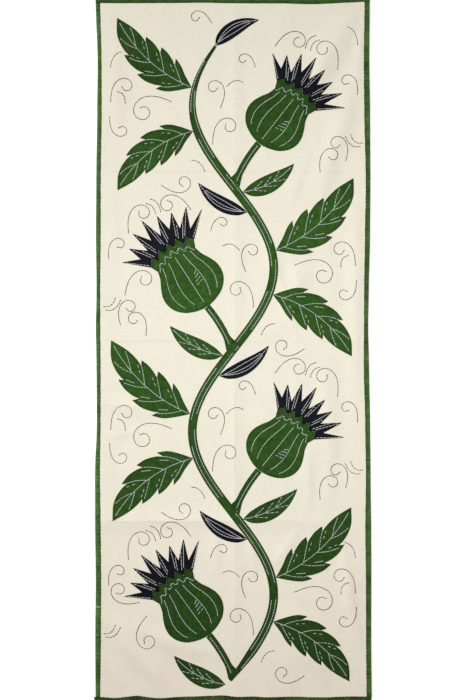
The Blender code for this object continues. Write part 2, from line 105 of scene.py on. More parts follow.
def ease(share: np.ndarray | float) -> np.ndarray | float:
    """A smooth step from 0 to 1 over a share of 0 to 1."""
    held = np.clip(share, 0.0, 1.0)
    return held * held * (3.0 - 2.0 * held)


def smoothed(values: np.ndarray, sigma: float, axis: int = 0) -> np.ndarray:
    """Blur evenly spaced values along one axis.

    Args:
        values: The values, in one or two dimensions.
        sigma: Width of the blur, in steps.
        axis: The axis to blur along.

    Returns:
        The blurred values; the ends are held.
    """
    reach = int(3 * sigma) + 1
    weights = np.exp(-0.5 * (np.arange(-reach, reach + 1) / sigma) ** 2)
    weights /= weights.sum()
    widths = [(reach, reach) if i == axis else (0, 0) for i in range(values.ndim)]
    padded = np.pad(values, widths, mode="edge")
    return np.apply_along_axis(lambda line: np.convolve(line, weights, mode="valid"), axis, padded)


def against(start: Pair, end: Pair, x: np.ndarray, y: np.ndarray) -> tuple[np.ndarray, np.ndarray, float]:
    """Where places on the panel stand against a straight line.

    Args:
        start: The line's start.
        end: Its end.
        x: Places across.
        y: Places along.

    Returns:
        Shares of the line's length, distances to its left, and its length.
    """
    run = np.array(end) - np.array(start)
    length = float(np.hypot(*run))
    ahead = run / length
    share = ((x - start[0]) * ahead[0] + (y - start[1]) * ahead[1]) / length
    return share, (y - start[1]) * ahead[0] - (x - start[0]) * ahead[1], length


def directions(line: np.ndarray) -> np.ndarray:
    """Unit direction of a closed line at each of its points."""
    ahead = np.roll(line, -1, 0) - np.roll(line, 1, 0)
    return ahead / np.linalg.norm(ahead, axis=1)[:, None]


@dataclass(frozen=True)
class PressedFold:
    """A storage fold: a narrow ridge or valley with soft flanks, strongest at one place.

    Its line sways by waves, each of so many radians a metre, a size and a phase.
    """

    kind: FoldKind
    start: Pair
    end: Pair
    height: float
    strongest: float
    spread: float
    weakest: float = 0.35
    flank: float = 11 * MM
    crest: float = 1.9 * MM
    wander: float = 0.8 * MM
    ends: float = 18.0
    flank_share: float = 0.45
    sway: tuple[Triple, ...] = ((61.0, 1.0, 1.3), (143.0, 0.6, 0.0), (331.0, 0.3, 2.0))

    def course(self, x: np.ndarray, y: np.ndarray) -> tuple[np.ndarray, np.ndarray]:
        """Where each place stands against the fold's wandering line.

        Args:
            x: Places across the panel.
            y: Places along the panel.

        Returns:
            Distances from the line, and the fold's strength there, 0 to 1.
        """
        share, aside, length = against(self.start, self.end, x, y)
        sway = sum(size * np.sin(rate * (share * length) + phase) for rate, size, phase in self.sway)
        near = np.exp(-(((share - self.strongest) / self.spread) ** 2))
        strength = self.weakest + (1.0 - self.weakest) * near
        faded = ease(share * self.ends) * ease((1.0 - share) * self.ends)
        return np.abs(aside - self.wander * sway), strength * faded

    def rise(self, x: np.ndarray, y: np.ndarray) -> np.ndarray:
        """Height that the fold adds at each place.

        Args:
            x: Places across the panel.
            y: Places along the panel.

        Returns:
            Heights in metres.
        """
        aside, strength = self.course(x, y)
        flank = np.exp(-((aside / self.flank) ** 2))
        crest = np.exp(-aside / self.crest)
        ridge = self.flank_share * flank + (1.0 - self.flank_share) * crest
        return self.height * strength * (ridge if self.kind is FoldKind.RIDGE else flank * (1.0 - crest))

    def wear(self, x: np.ndarray, y: np.ndarray) -> np.ndarray:
        """How much darker the cloth is along the fold's line, 0 to 1."""
        aside, strength = self.course(x, y)
        return strength * np.exp(-((aside / self.crest) ** 2))


PRESSED_FOLDS = (
    PressedFold(FoldKind.VALLEY, (-0.243, 0.3250), (0.243, 0.3230), 0.34 * MM, 0.35, 0.50, 0.35, 6 * MM),
    PressedFold(FoldKind.VALLEY, (-0.243, 0.0160), (0.243, 0.0140), 0.40 * MM, 0.15, 0.40, 0.25, 6 * MM),
    PressedFold(FoldKind.RIDGE, (-0.243, -0.3110), (0.243, -0.3120), 0.95 * MM, 0.22, 0.36, 0.20),
    PressedFold(FoldKind.RIDGE, (0.0040, -0.626), (0.0040, 0.626), 1.10 * MM, 0.38, 0.17, 0.22),
    PressedFold(FoldKind.VALLEY, (-0.243, -0.1020), (-0.165, -0.1070), 0.45 * MM, 0.30, 0.60, 0.30, 8 * MM),
    PressedFold(FoldKind.RIDGE, (-0.1880, -0.228), (-0.1560, -0.306), 0.40 * MM, 0.60, 0.50, 0.30, 4 * MM),
    PressedFold(FoldKind.RIDGE, (-0.1560, -0.309), (-0.1150, -0.323), 0.35 * MM, 0.30, 0.50, 0.20, 4 * MM),
)


@dataclass(frozen=True)
class SoftFold:
    """A soft rise from a pull or from handling, its height in millimetres, that fades out all round."""

    start: Pair
    end: Pair
    bow: float
    left: float
    right: float
    height: float
    end_width: float = 0.5
    fullness: float = 0.8

    def rise(self, x: np.ndarray, y: np.ndarray) -> np.ndarray:
        """Height that the fold adds at each place.

        Args:
            x: Places across the panel.
            y: Places along the panel.

        Returns:
            Heights in metres.
        """
        share, aside, _ = against(self.start, self.end, x, y)
        share = np.clip(share, 0.0, 1.0)
        aside = aside - self.bow * 4.0 * share * (1.0 - share)
        swell = np.sin(math.pi * share) ** self.fullness
        reach = np.where(aside > 0, self.left, self.right) * (self.end_width + (1.0 - self.end_width) * swell)
        across = np.clip(np.abs(aside) / reach, 0.0, 1.0)
        return self.height * MM * swell * (0.5 + 0.5 * np.cos(math.pi * across))


SOFT_FOLDS = tuple(SoftFold(*row) for row in (
    ((0.237, 0.604), (0.226, 0.478), 0.0, 0.006, 0.018, 1.6),
    ((0.214, 0.610), (0.120, 0.512), -0.004, 0.010, 0.022, 1.1),
    ((0.160, 0.306), (0.172, 0.170), 0.002, 0.012, 0.018, 1.5),
    ((0.053, 0.215), (0.122, 0.004), 0.004, 0.011, 0.017, 2.0),
    ((0.092, 0.205), (0.130, 0.080), 0.003, 0.010, 0.018, 1.2),
    ((0.118, 0.112), (0.158, 0.002), 0.002, 0.012, 0.018, 0.9),
    ((0.132, -0.164), (0.139, -0.312), 0.002, 0.011, 0.026, 1.7),
    ((0.074, -0.120), (0.066, -0.250), 0.001, 0.012, 0.018, 1.3),
    ((-0.031, -0.318), (-0.026, -0.412), 0.0, 0.010, 0.024, 1.8),
    ((0.030, -0.330), (0.040, -0.420), 0.0, 0.014, 0.014, 1.3),
    ((0.120, -0.320), (0.062, -0.400), 0.003, 0.020, 0.012, 1.5),
    ((0.196, -0.330), (0.238, -0.560), -0.004, 0.012, 0.026, 2.0),
    ((-0.151, 0.470), (-0.048, 0.326), 0.004, 0.016, 0.018, 1.4),
    ((-0.060, 0.415), (0.020, 0.310), 0.002, 0.014, 0.020, 1.4),
    ((0.070, 0.480), (0.055, 0.390), 0.0, 0.012, 0.018, 0.6),
    ((0.104, 0.500), (0.078, 0.380), 0.0, 0.012, 0.018, 0.9),
    ((0.140, 0.370), (0.100, 0.250), 0.0, 0.014, 0.024, 1.3),
    ((-0.222, 0.330), (-0.215, 0.150), 0.002, 0.012, 0.018, 1.0),
    ((-0.110, 0.290), (-0.128, 0.160), 0.003, 0.014, 0.018, 0.9),
    ((-0.210, 0.120), (-0.060, 0.128), 0.003, 0.016, 0.012, 0.8),
    ((-0.238, -0.160), (-0.168, -0.150), 0.0, 0.024, 0.008, 1.1),
    ((-0.206, -0.190), (-0.178, -0.300), 0.004, 0.012, 0.014, 1.0),
    ((-0.100, -0.324), (-0.066, -0.440), 0.007, 0.006, 0.016, 1.1),
    ((-0.170, -0.340), (-0.150, -0.450), 0.003, 0.012, 0.016, 0.8),
    ((-0.240, -0.545), (-0.196, -0.622), 0.002, 0.016, 0.016, 1.4),
    ((-0.090, -0.560), (-0.030, -0.624), 0.002, 0.014, 0.018, 1.0),
))


@dataclass
class Lie:
    """How the ground cloth lies: the height of its face, read from its solid and softened."""

    node: str = "ground_cloth"
    step: float = 2.5 * MM
    reach: Pair = (0.262, 0.652)
    soften: float = 6 * MM
    ease_up: float = 0.25 * MM
    crumple: float = 0.75 * MM
    crumple_size: float = 0.036
    stretch: float = 0.45
    ruffle: float = 0.16 * MM
    ruffle_size: float = 0.013
    ruffle_stretch: float = 0.7
    raised: float = 0.35
    above: float = 0.1
    last_cell: float = 1.001
    heights: np.ndarray = field(init=False)

    def __post_init__(self) -> None:
        """Read the solid's face once."""
        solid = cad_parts[self.node].data
        corners = [corner.co for corner in solid.vertices]
        tree = BVHTree.FromPolygons(corners, [tuple(face.vertices) for face in solid.polygons])
        xs, ys = [np.arange(-reach, reach + self.step / 2, self.step) for reach in self.reach]
        rows = []
        for y in ys:
            hits = [tree.ray_cast(Vector((x, y, self.above)), Vector((0, 0, -1)))[0] for x in xs]
            found = np.array([hit is not None for hit in hits])
            seen = np.array([hit.z for hit in hits if hit is not None])
            rows.append(np.interp(xs, xs[found], seen) if found.any() else None)
        known = [i for i, row in enumerate(rows) if row is not None]
        rows = [rows[min(max(i, known[0]), known[-1])] for i in range(len(rows))]
        sigma = self.soften / self.step
        lie = smoothed(smoothed(np.array(rows), sigma, 0), sigma, 1)
        across, level = np.meshgrid(xs, ys)
        soft = sum(fold.rise(across, level) for fold in SOFT_FOLDS)
        self.heights = lie + soft + self.crumples(xs, ys) + self.ease_up

    def crumples(self, xs: np.ndarray, ys: np.ndarray) -> np.ndarray:
        """Soft handling crumples of cotton that has been folded and spread again.

        Args:
            xs: The lattice's places across.
            ys: The lattice's places along.

        Returns:
            Heights above the solid's face, never below zero.
        """
        rows = np.empty((len(ys), len(xs)))
        for j, y in enumerate(ys):
            for i, x in enumerate(xs):
                large = noise.noise(Vector((x, self.stretch * y, CRUMPLE_PLANE)) / self.crumple_size)
                small = noise.noise(Vector((x, self.ruffle_stretch * y, RUFFLE_PLANE)) / self.ruffle_size)
                rows[j, i] = self.crumple * (self.raised + large) + self.ruffle * (self.raised + small)
        return np.maximum(rows, 0.0)

    def face(self, x: np.ndarray | float, y: np.ndarray | float) -> np.ndarray:
        """Height of the ground cloth's face.

        Args:
            x: Places across the panel.
            y: Places along the panel.

        Returns:
            Heights above the floor, in metres.
        """
        x, y = np.asarray(x, float), np.asarray(y, float)
        rows, columns = self.heights.shape
        column = np.clip((x + self.reach[0]) / self.step, 0, columns - self.last_cell)
        row = np.clip((y + self.reach[1]) / self.step, 0, rows - self.last_cell)
        i, j = column.astype(int), row.astype(int)
        u, v = column - i, row - j
        low = self.heights[j, i] * (1 - u) + self.heights[j, i + 1] * u
        high = self.heights[j + 1, i] * (1 - u) + self.heights[j + 1, i + 1] * u
        return low * (1 - v) + high * v + sum(fold.rise(x, y) for fold in PRESSED_FOLDS)


def face_outwards(mesh: Mesh) -> None:
    """Turn the faces of a closed mesh outwards, and smooth them.

    Args:
        mesh: The mesh, changed in place.
    """
    form = bmesh.new()
    form.from_mesh(mesh)
    bmesh.ops.recalc_face_normals(form, faces=form.faces)
    form.to_mesh(mesh)
    form.free()
    mesh.polygons.foreach_set("use_smooth", [True] * len(mesh.polygons))
    mesh.update()


def linked(name: str, data: bpy.types.ID) -> Piece:
    """Put a new object into the scene.

    Args:
        name: Its name.
        data: What it shows.

    Returns:
        The object.
    """
    made = bpy.data.objects.new(name, data)
    bpy.context.scene.collection.objects.link(made)
    return made


def new_piece(name: str, mesh: Mesh, material: Material) -> Piece:
    """Put a finished mesh into the scene as a piece that rides on the panel.

    Args:
        name: The piece's name.
        mesh: Its mesh, in place.
        material: Its only material.

    Returns:
        The new object, at the origin.
    """
    mesh.materials.clear()
    mesh.materials.append(material)
    piece = linked(name, mesh)
    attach(piece, "root")
    mesh.calc_loop_triangles()
    log.info("%s: %d triangles", name, len(mesh.loop_triangles))
    return piece


def new_cloth(node: str, mesh: Mesh, finish: Finish, values: dict[str, np.ndarray]) -> Piece:
    """Make a closed mesh the piece of cloth that takes a solid's place.

    Args:
        node: The solid's name.
        mesh: The cloth's mesh, named as its piece.
        finish: The cloth's finish.
        values: Numbers for each point that its material reads, by name.

    Returns:
        The piece.
    """
    for name, numbers in values.items():
        made = mesh.attributes.new(name, "FLOAT", "POINT")
        made.data.foreach_set("value", np.asarray(numbers, np.float32))
    face_outwards(mesh)
    piece = new_piece(mesh.name, mesh, materials[finish])
    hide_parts(node)
    return piece


def new_mesh(name: str, points: np.ndarray, polygons: Sequence[Sequence[int]]) -> Mesh:
    """Make a mesh.

    Args:
        name: Its name.
        points: Its points, one a row.
        polygons: The numbers of each face's points.

    Returns:
        The mesh.
    """
    mesh = bpy.data.meshes.new(name)
    mesh.from_pydata(points.tolist(), [], polygons)
    return mesh


class Desk:
    """Short ways to lay out and join the nodes of one tree."""

    def __init__(self, tree: bpy.types.NodeTree) -> None:
        """Start on a tree."""
        self.tree = tree

    def node(self, kind: str, settings: dict | None = None, values: dict | None = None) -> bpy.types.Node:
        """Add a node.

        Args:
            kind: Its type.
            settings: Its properties.
            values: What goes into its inputs, by name or number; a socket is joined to it.

        Returns:
            The node.
        """
        made = self.tree.nodes.new(kind)
        for name, value in (settings or {}).items():
            setattr(made, name, value)
        for name, value in (values or {}).items():
            self.put(made.inputs[name], value)
        return made

    def put(self, socket: Socket, value: object) -> None:
        """Fill a node's input.

        Args:
            socket: The input.
            value: Its value, or another node's output that is joined to it.
        """
        if isinstance(value, Socket):
            self.tree.links.new(value, socket)
        else:
            socket.default_value = value

    def maths(self, operation: str, *values: object) -> Socket:
        """Join numbers or sockets by one operation of the Math node."""
        return self.node("ShaderNodeMath", {"operation": operation}, dict(enumerate(values))).outputs[0]

    def spread(self, value: Socket, low: float, high: float) -> Socket:
        """Stretch a value of 0 to 1 so that it runs from low to high."""
        return self.maths("MULTIPLY_ADD", value, high - low, low)

    def vector(self, **parts: object) -> Socket:
        """A vector of the parts X, Y and Z; those left out are 0."""
        return self.node("ShaderNodeCombineXYZ", None, parts).outputs[0]

    def value(self, name: str) -> Socket:
        """A number that the mesh has for each of its points."""
        return self.node("ShaderNodeAttribute", {"attribute_name": name}).outputs["Fac"]

    def blend(self, kind: str, share: object, first: object, second: object) -> Socket:
        """Mix two colours, the second coming in over the first by a share."""
        settings = {"data_type": "RGBA", "blend_type": kind}
        return self.node("ShaderNodeMix", settings, {0: share, 6: first, 7: second}).outputs[2]

    def cloud(self, place: Socket, scale: float, detail: float = 2.0, stretch: Pair = (1, 1)) -> Socket:
        """Noise over the piece.

        Args:
            place: The coordinates' socket.
            scale: Patches for each metre.
            detail: Finer layers of the noise.
            stretch: How much denser it is across and along.

        Returns:
            The noise, about 0 to 1.
        """
        mapped = self.node("ShaderNodeMapping", None, {"Vector": place, "Scale": (*stretch, 1.0)})
        values = {"Vector": mapped.outputs[0], "Scale": scale, "Detail": detail, "Roughness": CLOUD_ROUGHNESS}
        return self.node("ShaderNodeTexNoise", None, values).outputs[0]

    def bump(self, height: Socket, strength: float, distance: float, **under: Socket) -> Socket:
        """Relief from a height, over another relief that is given as Normal."""
        values = {"Strength": strength, "Distance": distance, "Height": height, **under}
        return self.node("ShaderNodeBump", None, values).outputs[0]


def new_material(name: str, roughness: float, gloss: float) -> tuple[Material, Desk, bpy.types.Node]:
    """Start a material.

    Args:
        name: Its name.
        roughness: The shader's roughness.
        gloss: The shader's specular level.

    Returns:
        The material, a desk on its tree, and its shader.
    """
    made = bpy.data.materials.new(name)
    made.use_nodes = True
    shader = made.node_tree.nodes["Principled BSDF"]
    shader.inputs["Roughness"].default_value = roughness
    shader.inputs["Specular IOR Level"].default_value = gloss
    return made, Desk(made.node_tree), shader


@dataclass(frozen=True)
class WovenCotton:
    """Plain-woven cotton: colour, drift of its dye, thread flecks, weave, and painted shade and highlight at
    edges and puckers.
    """

    finish: Finish
    colour: Colour
    drift: float
    mottle: float
    fleck: float
    # How strong the painted shade from rim is; where rim is below zero it paints a highlight
    rim: float
    aged: Colour | None = None
    # How dark the cloth is made along the pressed folds' lines
    worn: float = 0.90
    pitch: float = 0.62 * MM
    weave_relief: float = 0.10 * MM
    ruffle_relief: float = 0.30 * MM
    roughness: float = 0.92
    gloss: float = 0.08
    drift_size: float = 11.0
    mottle_size: float = 165.0
    ruffle_size: float = 75.0
    bend_size: float = 60.0
    slubs: Pair = (26.0, 22.0)

    def material(self) -> Material:
        """Build the cloth's material.

        Returns:
            A material that reads Object coordinates and the attributes rim, which paints shade and highlight,
            the darkening along the pressed folds, tone, which carries the binding strips' painted light, and
            age.
        """
        made, desk, shader = new_material(self.finish.value, self.roughness, self.gloss)
        place = desk.node("ShaderNodeTexCoord").outputs["Object"]
        weave, threads = self.weave(desk, place)
        dye = linear(self.colour)
        if self.aged:
            dye = desk.blend("MIX", desk.value("age"), dye, linear(self.aged))
        shade = self.shade(desk, place, weave, threads)
        desk.put(shader.inputs["Base Color"], desk.blend("MULTIPLY", 1.0, dye, shade))
        soft = desk.bump(desk.cloud(place, self.ruffle_size, 2.0), 0.7, self.ruffle_relief)
        cord = desk.bump(threads, 0.5, self.weave_relief, Normal=soft)
        desk.put(shader.inputs["Normal"], desk.bump(weave, 0.5, self.weave_relief, Normal=cord))
        return made

    def weave(self, desk: Desk, place: Socket) -> tuple[Socket, Socket]:
        """Over-and-under of the threads, and the unevenness from thread to thread.

        Args:
            desk: The material's desk.
            place: Object coordinates.

        Returns:
            The weave and the threads, each about 0 to 1.
        """
        bend = desk.cloud(place, self.bend_size, 1.0)
        parts = desk.node("ShaderNodeSeparateXYZ", None, {0: place}).outputs
        turns = [desk.maths("MULTIPLY_ADD", parts[part], 2 * math.pi / self.pitch, bend) for part in "XY"]
        weave = desk.spread(desk.maths("MULTIPLY", *[desk.maths("SINE", turn) for turn in turns]), 0.5, 1.0)
        down = desk.cloud(place, 1.0, 1.5, (1 / self.pitch, self.slubs[0]))
        across = desk.cloud(place, 1.0, 1.5, (self.slubs[1], 1 / self.pitch))
        return weave, desk.maths("MULTIPLY_ADD", desk.maths("ADD", down, across), 1.0, -0.5)

    def shade(self, desk: Desk, place: Socket, weave: Socket, threads: Socket) -> Socket:
        """How light each place is against the cloth's own colour.

        Args:
            desk: The material's desk.
            place: Object coordinates.
            weave: The weave, 0 to 1.
            threads: The threads' unevenness, about 0 to 1.

        Returns:
            A grey that multiplies the colour.
        """
        drift = desk.cloud(place, self.drift_size, 4.0)
        mottle = desk.cloud(place, self.mottle_size, 3.0)
        shade = desk.spread(drift, 1 - self.drift, 1 + self.drift)
        # rim paints shade at turned edges and puckers and a highlight on the binding's outer roll; tone also
        # carries the binding strips' painted light
        for value, low, high in (
            (mottle, 1 - self.mottle, 1 + self.mottle), (threads, 1 - self.fleck, 1 + self.fleck),
            (weave, 1 - 0.5 * self.fleck, 1.0), (desk.value("rim"), 1.0, 1 - self.rim),
            (desk.value("wear"), 1.0, self.worn), (desk.value("tone"), 1.0, 2.0),
        ):
            shade = desk.maths("MULTIPLY", shade, desk.spread(value, low, high))
        return shade


@dataclass(frozen=True)
class TwistedThread:
    """Embroidery thread: colour, sheen and the twist of its plies."""

    name: str
    colour: Colour
    sheen: float = 0.15
    roughness: float = 0.55
    gloss: float = 0.25
    twist: float = 5.0
    ply_depth: float = 0.12 * MM
    # How dark the painted shade between the plies is
    ply_shade: float = 0.80
    wear_size: float = 120.0
    worn: Pair = (0.86, 1.10)

    def material(self) -> Material:
        """Build the thread's material.

        Returns:
            A material that reads the stitch's own UV map.
        """
        made, desk, shader = new_material(self.name, self.roughness, self.gloss)
        along = desk.node("ShaderNodeUVMap", {"uv_map": "thread"}).outputs[0]
        parts = desk.node("ShaderNodeSeparateXYZ", None, {0: along}).outputs
        lean = desk.maths("MULTIPLY_ADD", parts["X"], self.twist, parts["Y"])
        plies = desk.spread(desk.maths("SINE", desk.maths("MULTIPLY", lean, 2 * math.pi)), 0.5, 1.0)
        place = desk.node("ShaderNodeTexCoord").outputs["Object"]
        worn = desk.spread(desk.cloud(place, self.wear_size, 1.0), *self.worn)
        # Painted shade in the grooves between the plies, times a random unevenness
        shade = desk.maths("MULTIPLY", desk.spread(plies, self.ply_shade, 1.0), worn)
        desk.put(shader.inputs["Base Color"], desk.blend("MULTIPLY", 1.0, linear(self.colour), shade))
        desk.put(shader.inputs["Normal"], desk.bump(plies, 0.6, self.ply_depth))
        shader.inputs["Sheen Weight"].default_value = self.sheen
        return made


CLOTHS = (
    WovenCotton(Finish.CREAM, (237, 232, 213), 0.014, 0.055, 0.050, 0.05, (240, 227, 210)),
    WovenCotton(Finish.GREEN, (49, 84, 30), 0.42, 0.66, 0.30, 0.30, (61, 84, 43)),
    WovenCotton(Finish.NAVY, (24, 24, 32), 0.20, 0.30, 0.20, 0.25),
)
PALE_THREAD = TwistedThread("pale_thread", (213, 216, 216))
GREY_THREAD = TwistedThread("grey_thread", (84, 73, 84))
GREEN_THREAD = TwistedThread("green_thread", (50, 80, 36))
NAVY_THREAD = TwistedThread("navy_thread", (30, 30, 38))
materials: dict[Finish, Material] = {}


@dataclass
class GroundCloth:
    """The cream ground: one thin sheet on the lie, out to inside the binding's fold.

    It is warm with age by a share at each height along the panel, in blotches.
    """

    lie: Lie
    border: Border
    thickness: float = 0.8 * MM
    floor_gap: float = 0.05 * MM
    step: float = 4.6 * MM
    fine_step: float = 1.3 * MM
    fine_reach: float = 7 * MM
    fine_clear: float = 1.5 * MM
    straight: float = 0.05
    inset: float = 1.8 * MM
    cut: Pair = (0.500, 1.276)
    # Strength of the darkening along the pressed folds' lines
    wear: float = 0.6
    ageing: tuple[Pair, ...] = ((-0.62, 0.62), (-0.50, 0.40), (-0.32, 0.22), (-0.29, 0.0))
    blotch: float = 0.045
    blotched: float = 0.6

    def lines(self, low: float, high: float, axis: int) -> np.ndarray:
        """Places of the net's rows or columns, closer together at the pressed folds across them.

        Args:
            low: The first place.
            high: The last place.
            axis: 0 for columns, 1 for rows.

        Returns:
            The places in order.
        """
        creases = [f.start[axis] for f in PRESSED_FOLDS if abs(f.start[axis] - f.end[axis]) < self.straight]
        even = np.linspace(low, high, int((high - low) / self.step) + 1)
        near = [c + np.arange(-self.fine_reach, self.fine_reach, self.fine_step) for c in creases]
        clear = self.fine_reach + self.fine_clear
        apart = [v for v in even[1:-1] if all(abs(v - c) > clear for c in creases)]
        return np.array(sorted([even[0], even[-1], *apart, *np.concatenate(near)]))

    def build(self) -> Piece:
        """Make the sheet.

        Returns:
            The ground's piece.
        """
        low = self.border.outer(Side.BOTTOM, 0.0) + self.inset
        high = self.border.outer(Side.TOP, 0.0) - self.inset
        rows = self.lines(float(low), float(high), 1)
        columns = self.lines(-HALF_WIDTH, HALF_WIDTH, 0)
        share = (columns + HALF_WIDTH) / (2 * HALF_WIDTH)
        left = self.border.outer(Side.LEFT, rows) + self.inset
        right = self.border.outer(Side.RIGHT, rows) - self.inset
        x = left[:, None] + (right - left)[:, None] * share[None, :]
        y = np.repeat(rows[:, None], len(columns), axis=1)
        top = np.maximum(self.lie.face(x, y), self.thickness + self.floor_gap)
        mesh = self.closed("ground_cloth_sheet", x, y, top)
        wear = self.wear * np.clip(sum(fold.wear(x, y) for fold in PRESSED_FOLDS), 0, 1).ravel()
        values = {"wear": np.tile(wear, 2), "age": np.tile(self.age(x, y), 2)}
        return new_cloth("ground_cloth", mesh, Finish.CREAM, values)

    def age(self, x: np.ndarray, y: np.ndarray) -> np.ndarray:
        """How far the cloth has gone warm with age.

        Args:
            x: Places across.
            y: Places along.

        Returns:
            Shares of 0 to 1, one for each place in order.
        """
        places = [Vector((*place, BLOTCH_PLANE)) / self.blotch for place in zip(x.ravel(), y.ravel())]
        blotches = np.array([noise.noise(place) for place in places])
        return np.interp(y.ravel(), *zip(*self.ageing)) * (1.0 + self.blotched * blotches)

    def closed(self, name: str, x: np.ndarray, y: np.ndarray, top: np.ndarray) -> Mesh:
        """The sheet over a net of rows and columns, closed round its edge.

        Args:
            name: The mesh's name.
            x: Places across, for each row and column.
            y: Places along.
            top: Heights of the face.

        Returns:
            The closed mesh: the face's points first, then the underside's.
        """
        layers = [np.stack([x, y, heights], -1).reshape(-1, 3) for heights in (top, top - self.thickness)]
        count = x.size
        number = np.arange(count).reshape(x.shape)
        corners = (number[:-1, :-1], number[:-1, 1:], number[1:, 1:], number[1:, :-1])
        quads = np.stack(corners, -1).reshape(-1, 4)
        rim = np.concatenate([number[0, :], number[1:, -1], number[-1, -2::-1], number[-2:0:-1, 0]])
        after = np.roll(rim, -1)
        wall = np.stack([rim, rim + count, after + count, after], -1)
        polygons = np.concatenate([quads, quads[:, ::-1] + count, wall])
        return new_mesh(name, np.concatenate(layers), polygons.tolist())


@dataclass(frozen=True)
class StripLook:
    """One binding strip's look: its tone, which is painted light, and how strongly it is worn, streaked and
    puckered.
    """

    tone: float
    worn: float
    streaked: float
    puckered: float


# The tones are painted light: lightest on the left strip, which faces the key light, then the right, darker
# on the top strip and darkest on the bottom; puckered also scales the painted shade in the puckers
STRIP_LOOKS = {
    Side.LEFT: StripLook(0.55, 0.45, 0.50, 1.0),
    Side.RIGHT: StripLook(0.30, 0.45, 0.50, 1.0),
    Side.TOP: StripLook(-0.08, 0.25, 0.20, 0.4),
    Side.BOTTOM: StripLook(-0.20, 0.45, 0.28, 0.5),
}

# How much wider an end strip is than its solid, in millimetres, at places across the panel. A
# measuring script printed these values from the photo and an earlier render
END_WIDTHS = {
    Side.TOP: (
        (-0.236, -0.2), (-0.195, -0.3), (-0.158, -0.7), (-0.104, -1.3), (-0.049, -2.0), (-0.013, -1.0),
        (0.042, -0.6), (0.096, -0.6), (0.115, 0.4), (0.142, 1.1), (0.169, 0.5), (0.205, -1.1), (0.236, -2.6),
    ),
    Side.BOTTOM: (
        (-0.236, 0.2), (-0.213, -0.8), (-0.195, 0.4), (-0.176, 1.5), (-0.158, -0.7), (-0.140, -2.3),
        (-0.122, -1.2), (-0.104, -0.2), (-0.085, -0.9), (-0.067, -0.9), (-0.031, -0.3), (-0.013, 0.2),
        (0.005, -1.1), (0.024, -0.1), (0.042, 0.2), (0.060, -1.0), (0.096, -0.5), (0.133, -1.0),
        (0.169, -0.8), (0.205, 0.3), (0.236, 0.2),
    ),
}


@dataclass
class Border:
    """Outer and inner lines of the four binding strips, read from their solids and softened."""

    step: float = 1.65 * MM
    soften: float = 9 * MM
    soften_widths: float = 4 * MM
    tuck: float = 2.0 * MM
    narrow_corner: float = 2.6 * MM
    plump: float = 0.3 * MM
    same_place: float = 0.02 * MM
    tables: dict[Side, tuple[np.ndarray, np.ndarray, np.ndarray]] = field(default_factory=dict)

    def __post_init__(self) -> None:
        """Read each strip's lines once."""
        for side in Side:
            along, outward = side.value
            corners = np.array([v.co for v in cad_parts[f"binding_{side.name.lower()}"].data.vertices])
            places = np.unique(np.round(corners[:, along], 5))
            beside = [
                corners[np.abs(corners[:, along] - place) < self.same_place, 1 - along] * outward
                for place in places
            ]
            tuck = self.tuck if along == 1 else 0.0
            first, last = places[0] - tuck, places[-1] + tuck + self.beyond(side)
            fine = np.arange(first, last + self.step / 2, self.step)
            lines = []
            for pick in (np.max, np.min):
                read = np.interp(fine, places, [pick(row) * outward for row in beside])
                lines.append(smoothed(read, self.soften / self.step))
            if side in END_WIDTHS:
                wider = MM * np.interp(fine, *zip(*END_WIDTHS[side]))
                lines[1] -= outward * smoothed(wider, self.soften_widths / self.step)
            else:
                lines[1] -= outward * self.plump
            self.tables[side] = (fine, *lines)

    def beyond(self, side: Side) -> float:
        """How much further a side strip runs on at its top end, where the top strip is narrow."""
        return self.narrow_corner if side is Side.RIGHT else 0.0

    def stations(self, side: Side) -> np.ndarray:
        """The places along a strip where its section is made."""
        return self.tables[side][0]

    def outer(self, side: Side, place: np.ndarray | float) -> np.ndarray:
        """The strip's outer line at places along it."""
        return np.interp(place, self.tables[side][0], self.tables[side][1])

    def inner(self, side: Side, place: np.ndarray | float) -> np.ndarray:
        """The strip's inner line at places along it."""
        return np.interp(place, self.tables[side][0], self.tables[side][2])

    def clear_of(self, points: np.ndarray) -> float:
        """How far inside the binding the nearest of some points is."""
        gaps = [(self.inner(s, points[:, s.value[0]]) - points[:, 1 - s.value[0]]) * s.value[1] for s in Side]
        return float(min(gap.min() for gap in gaps))


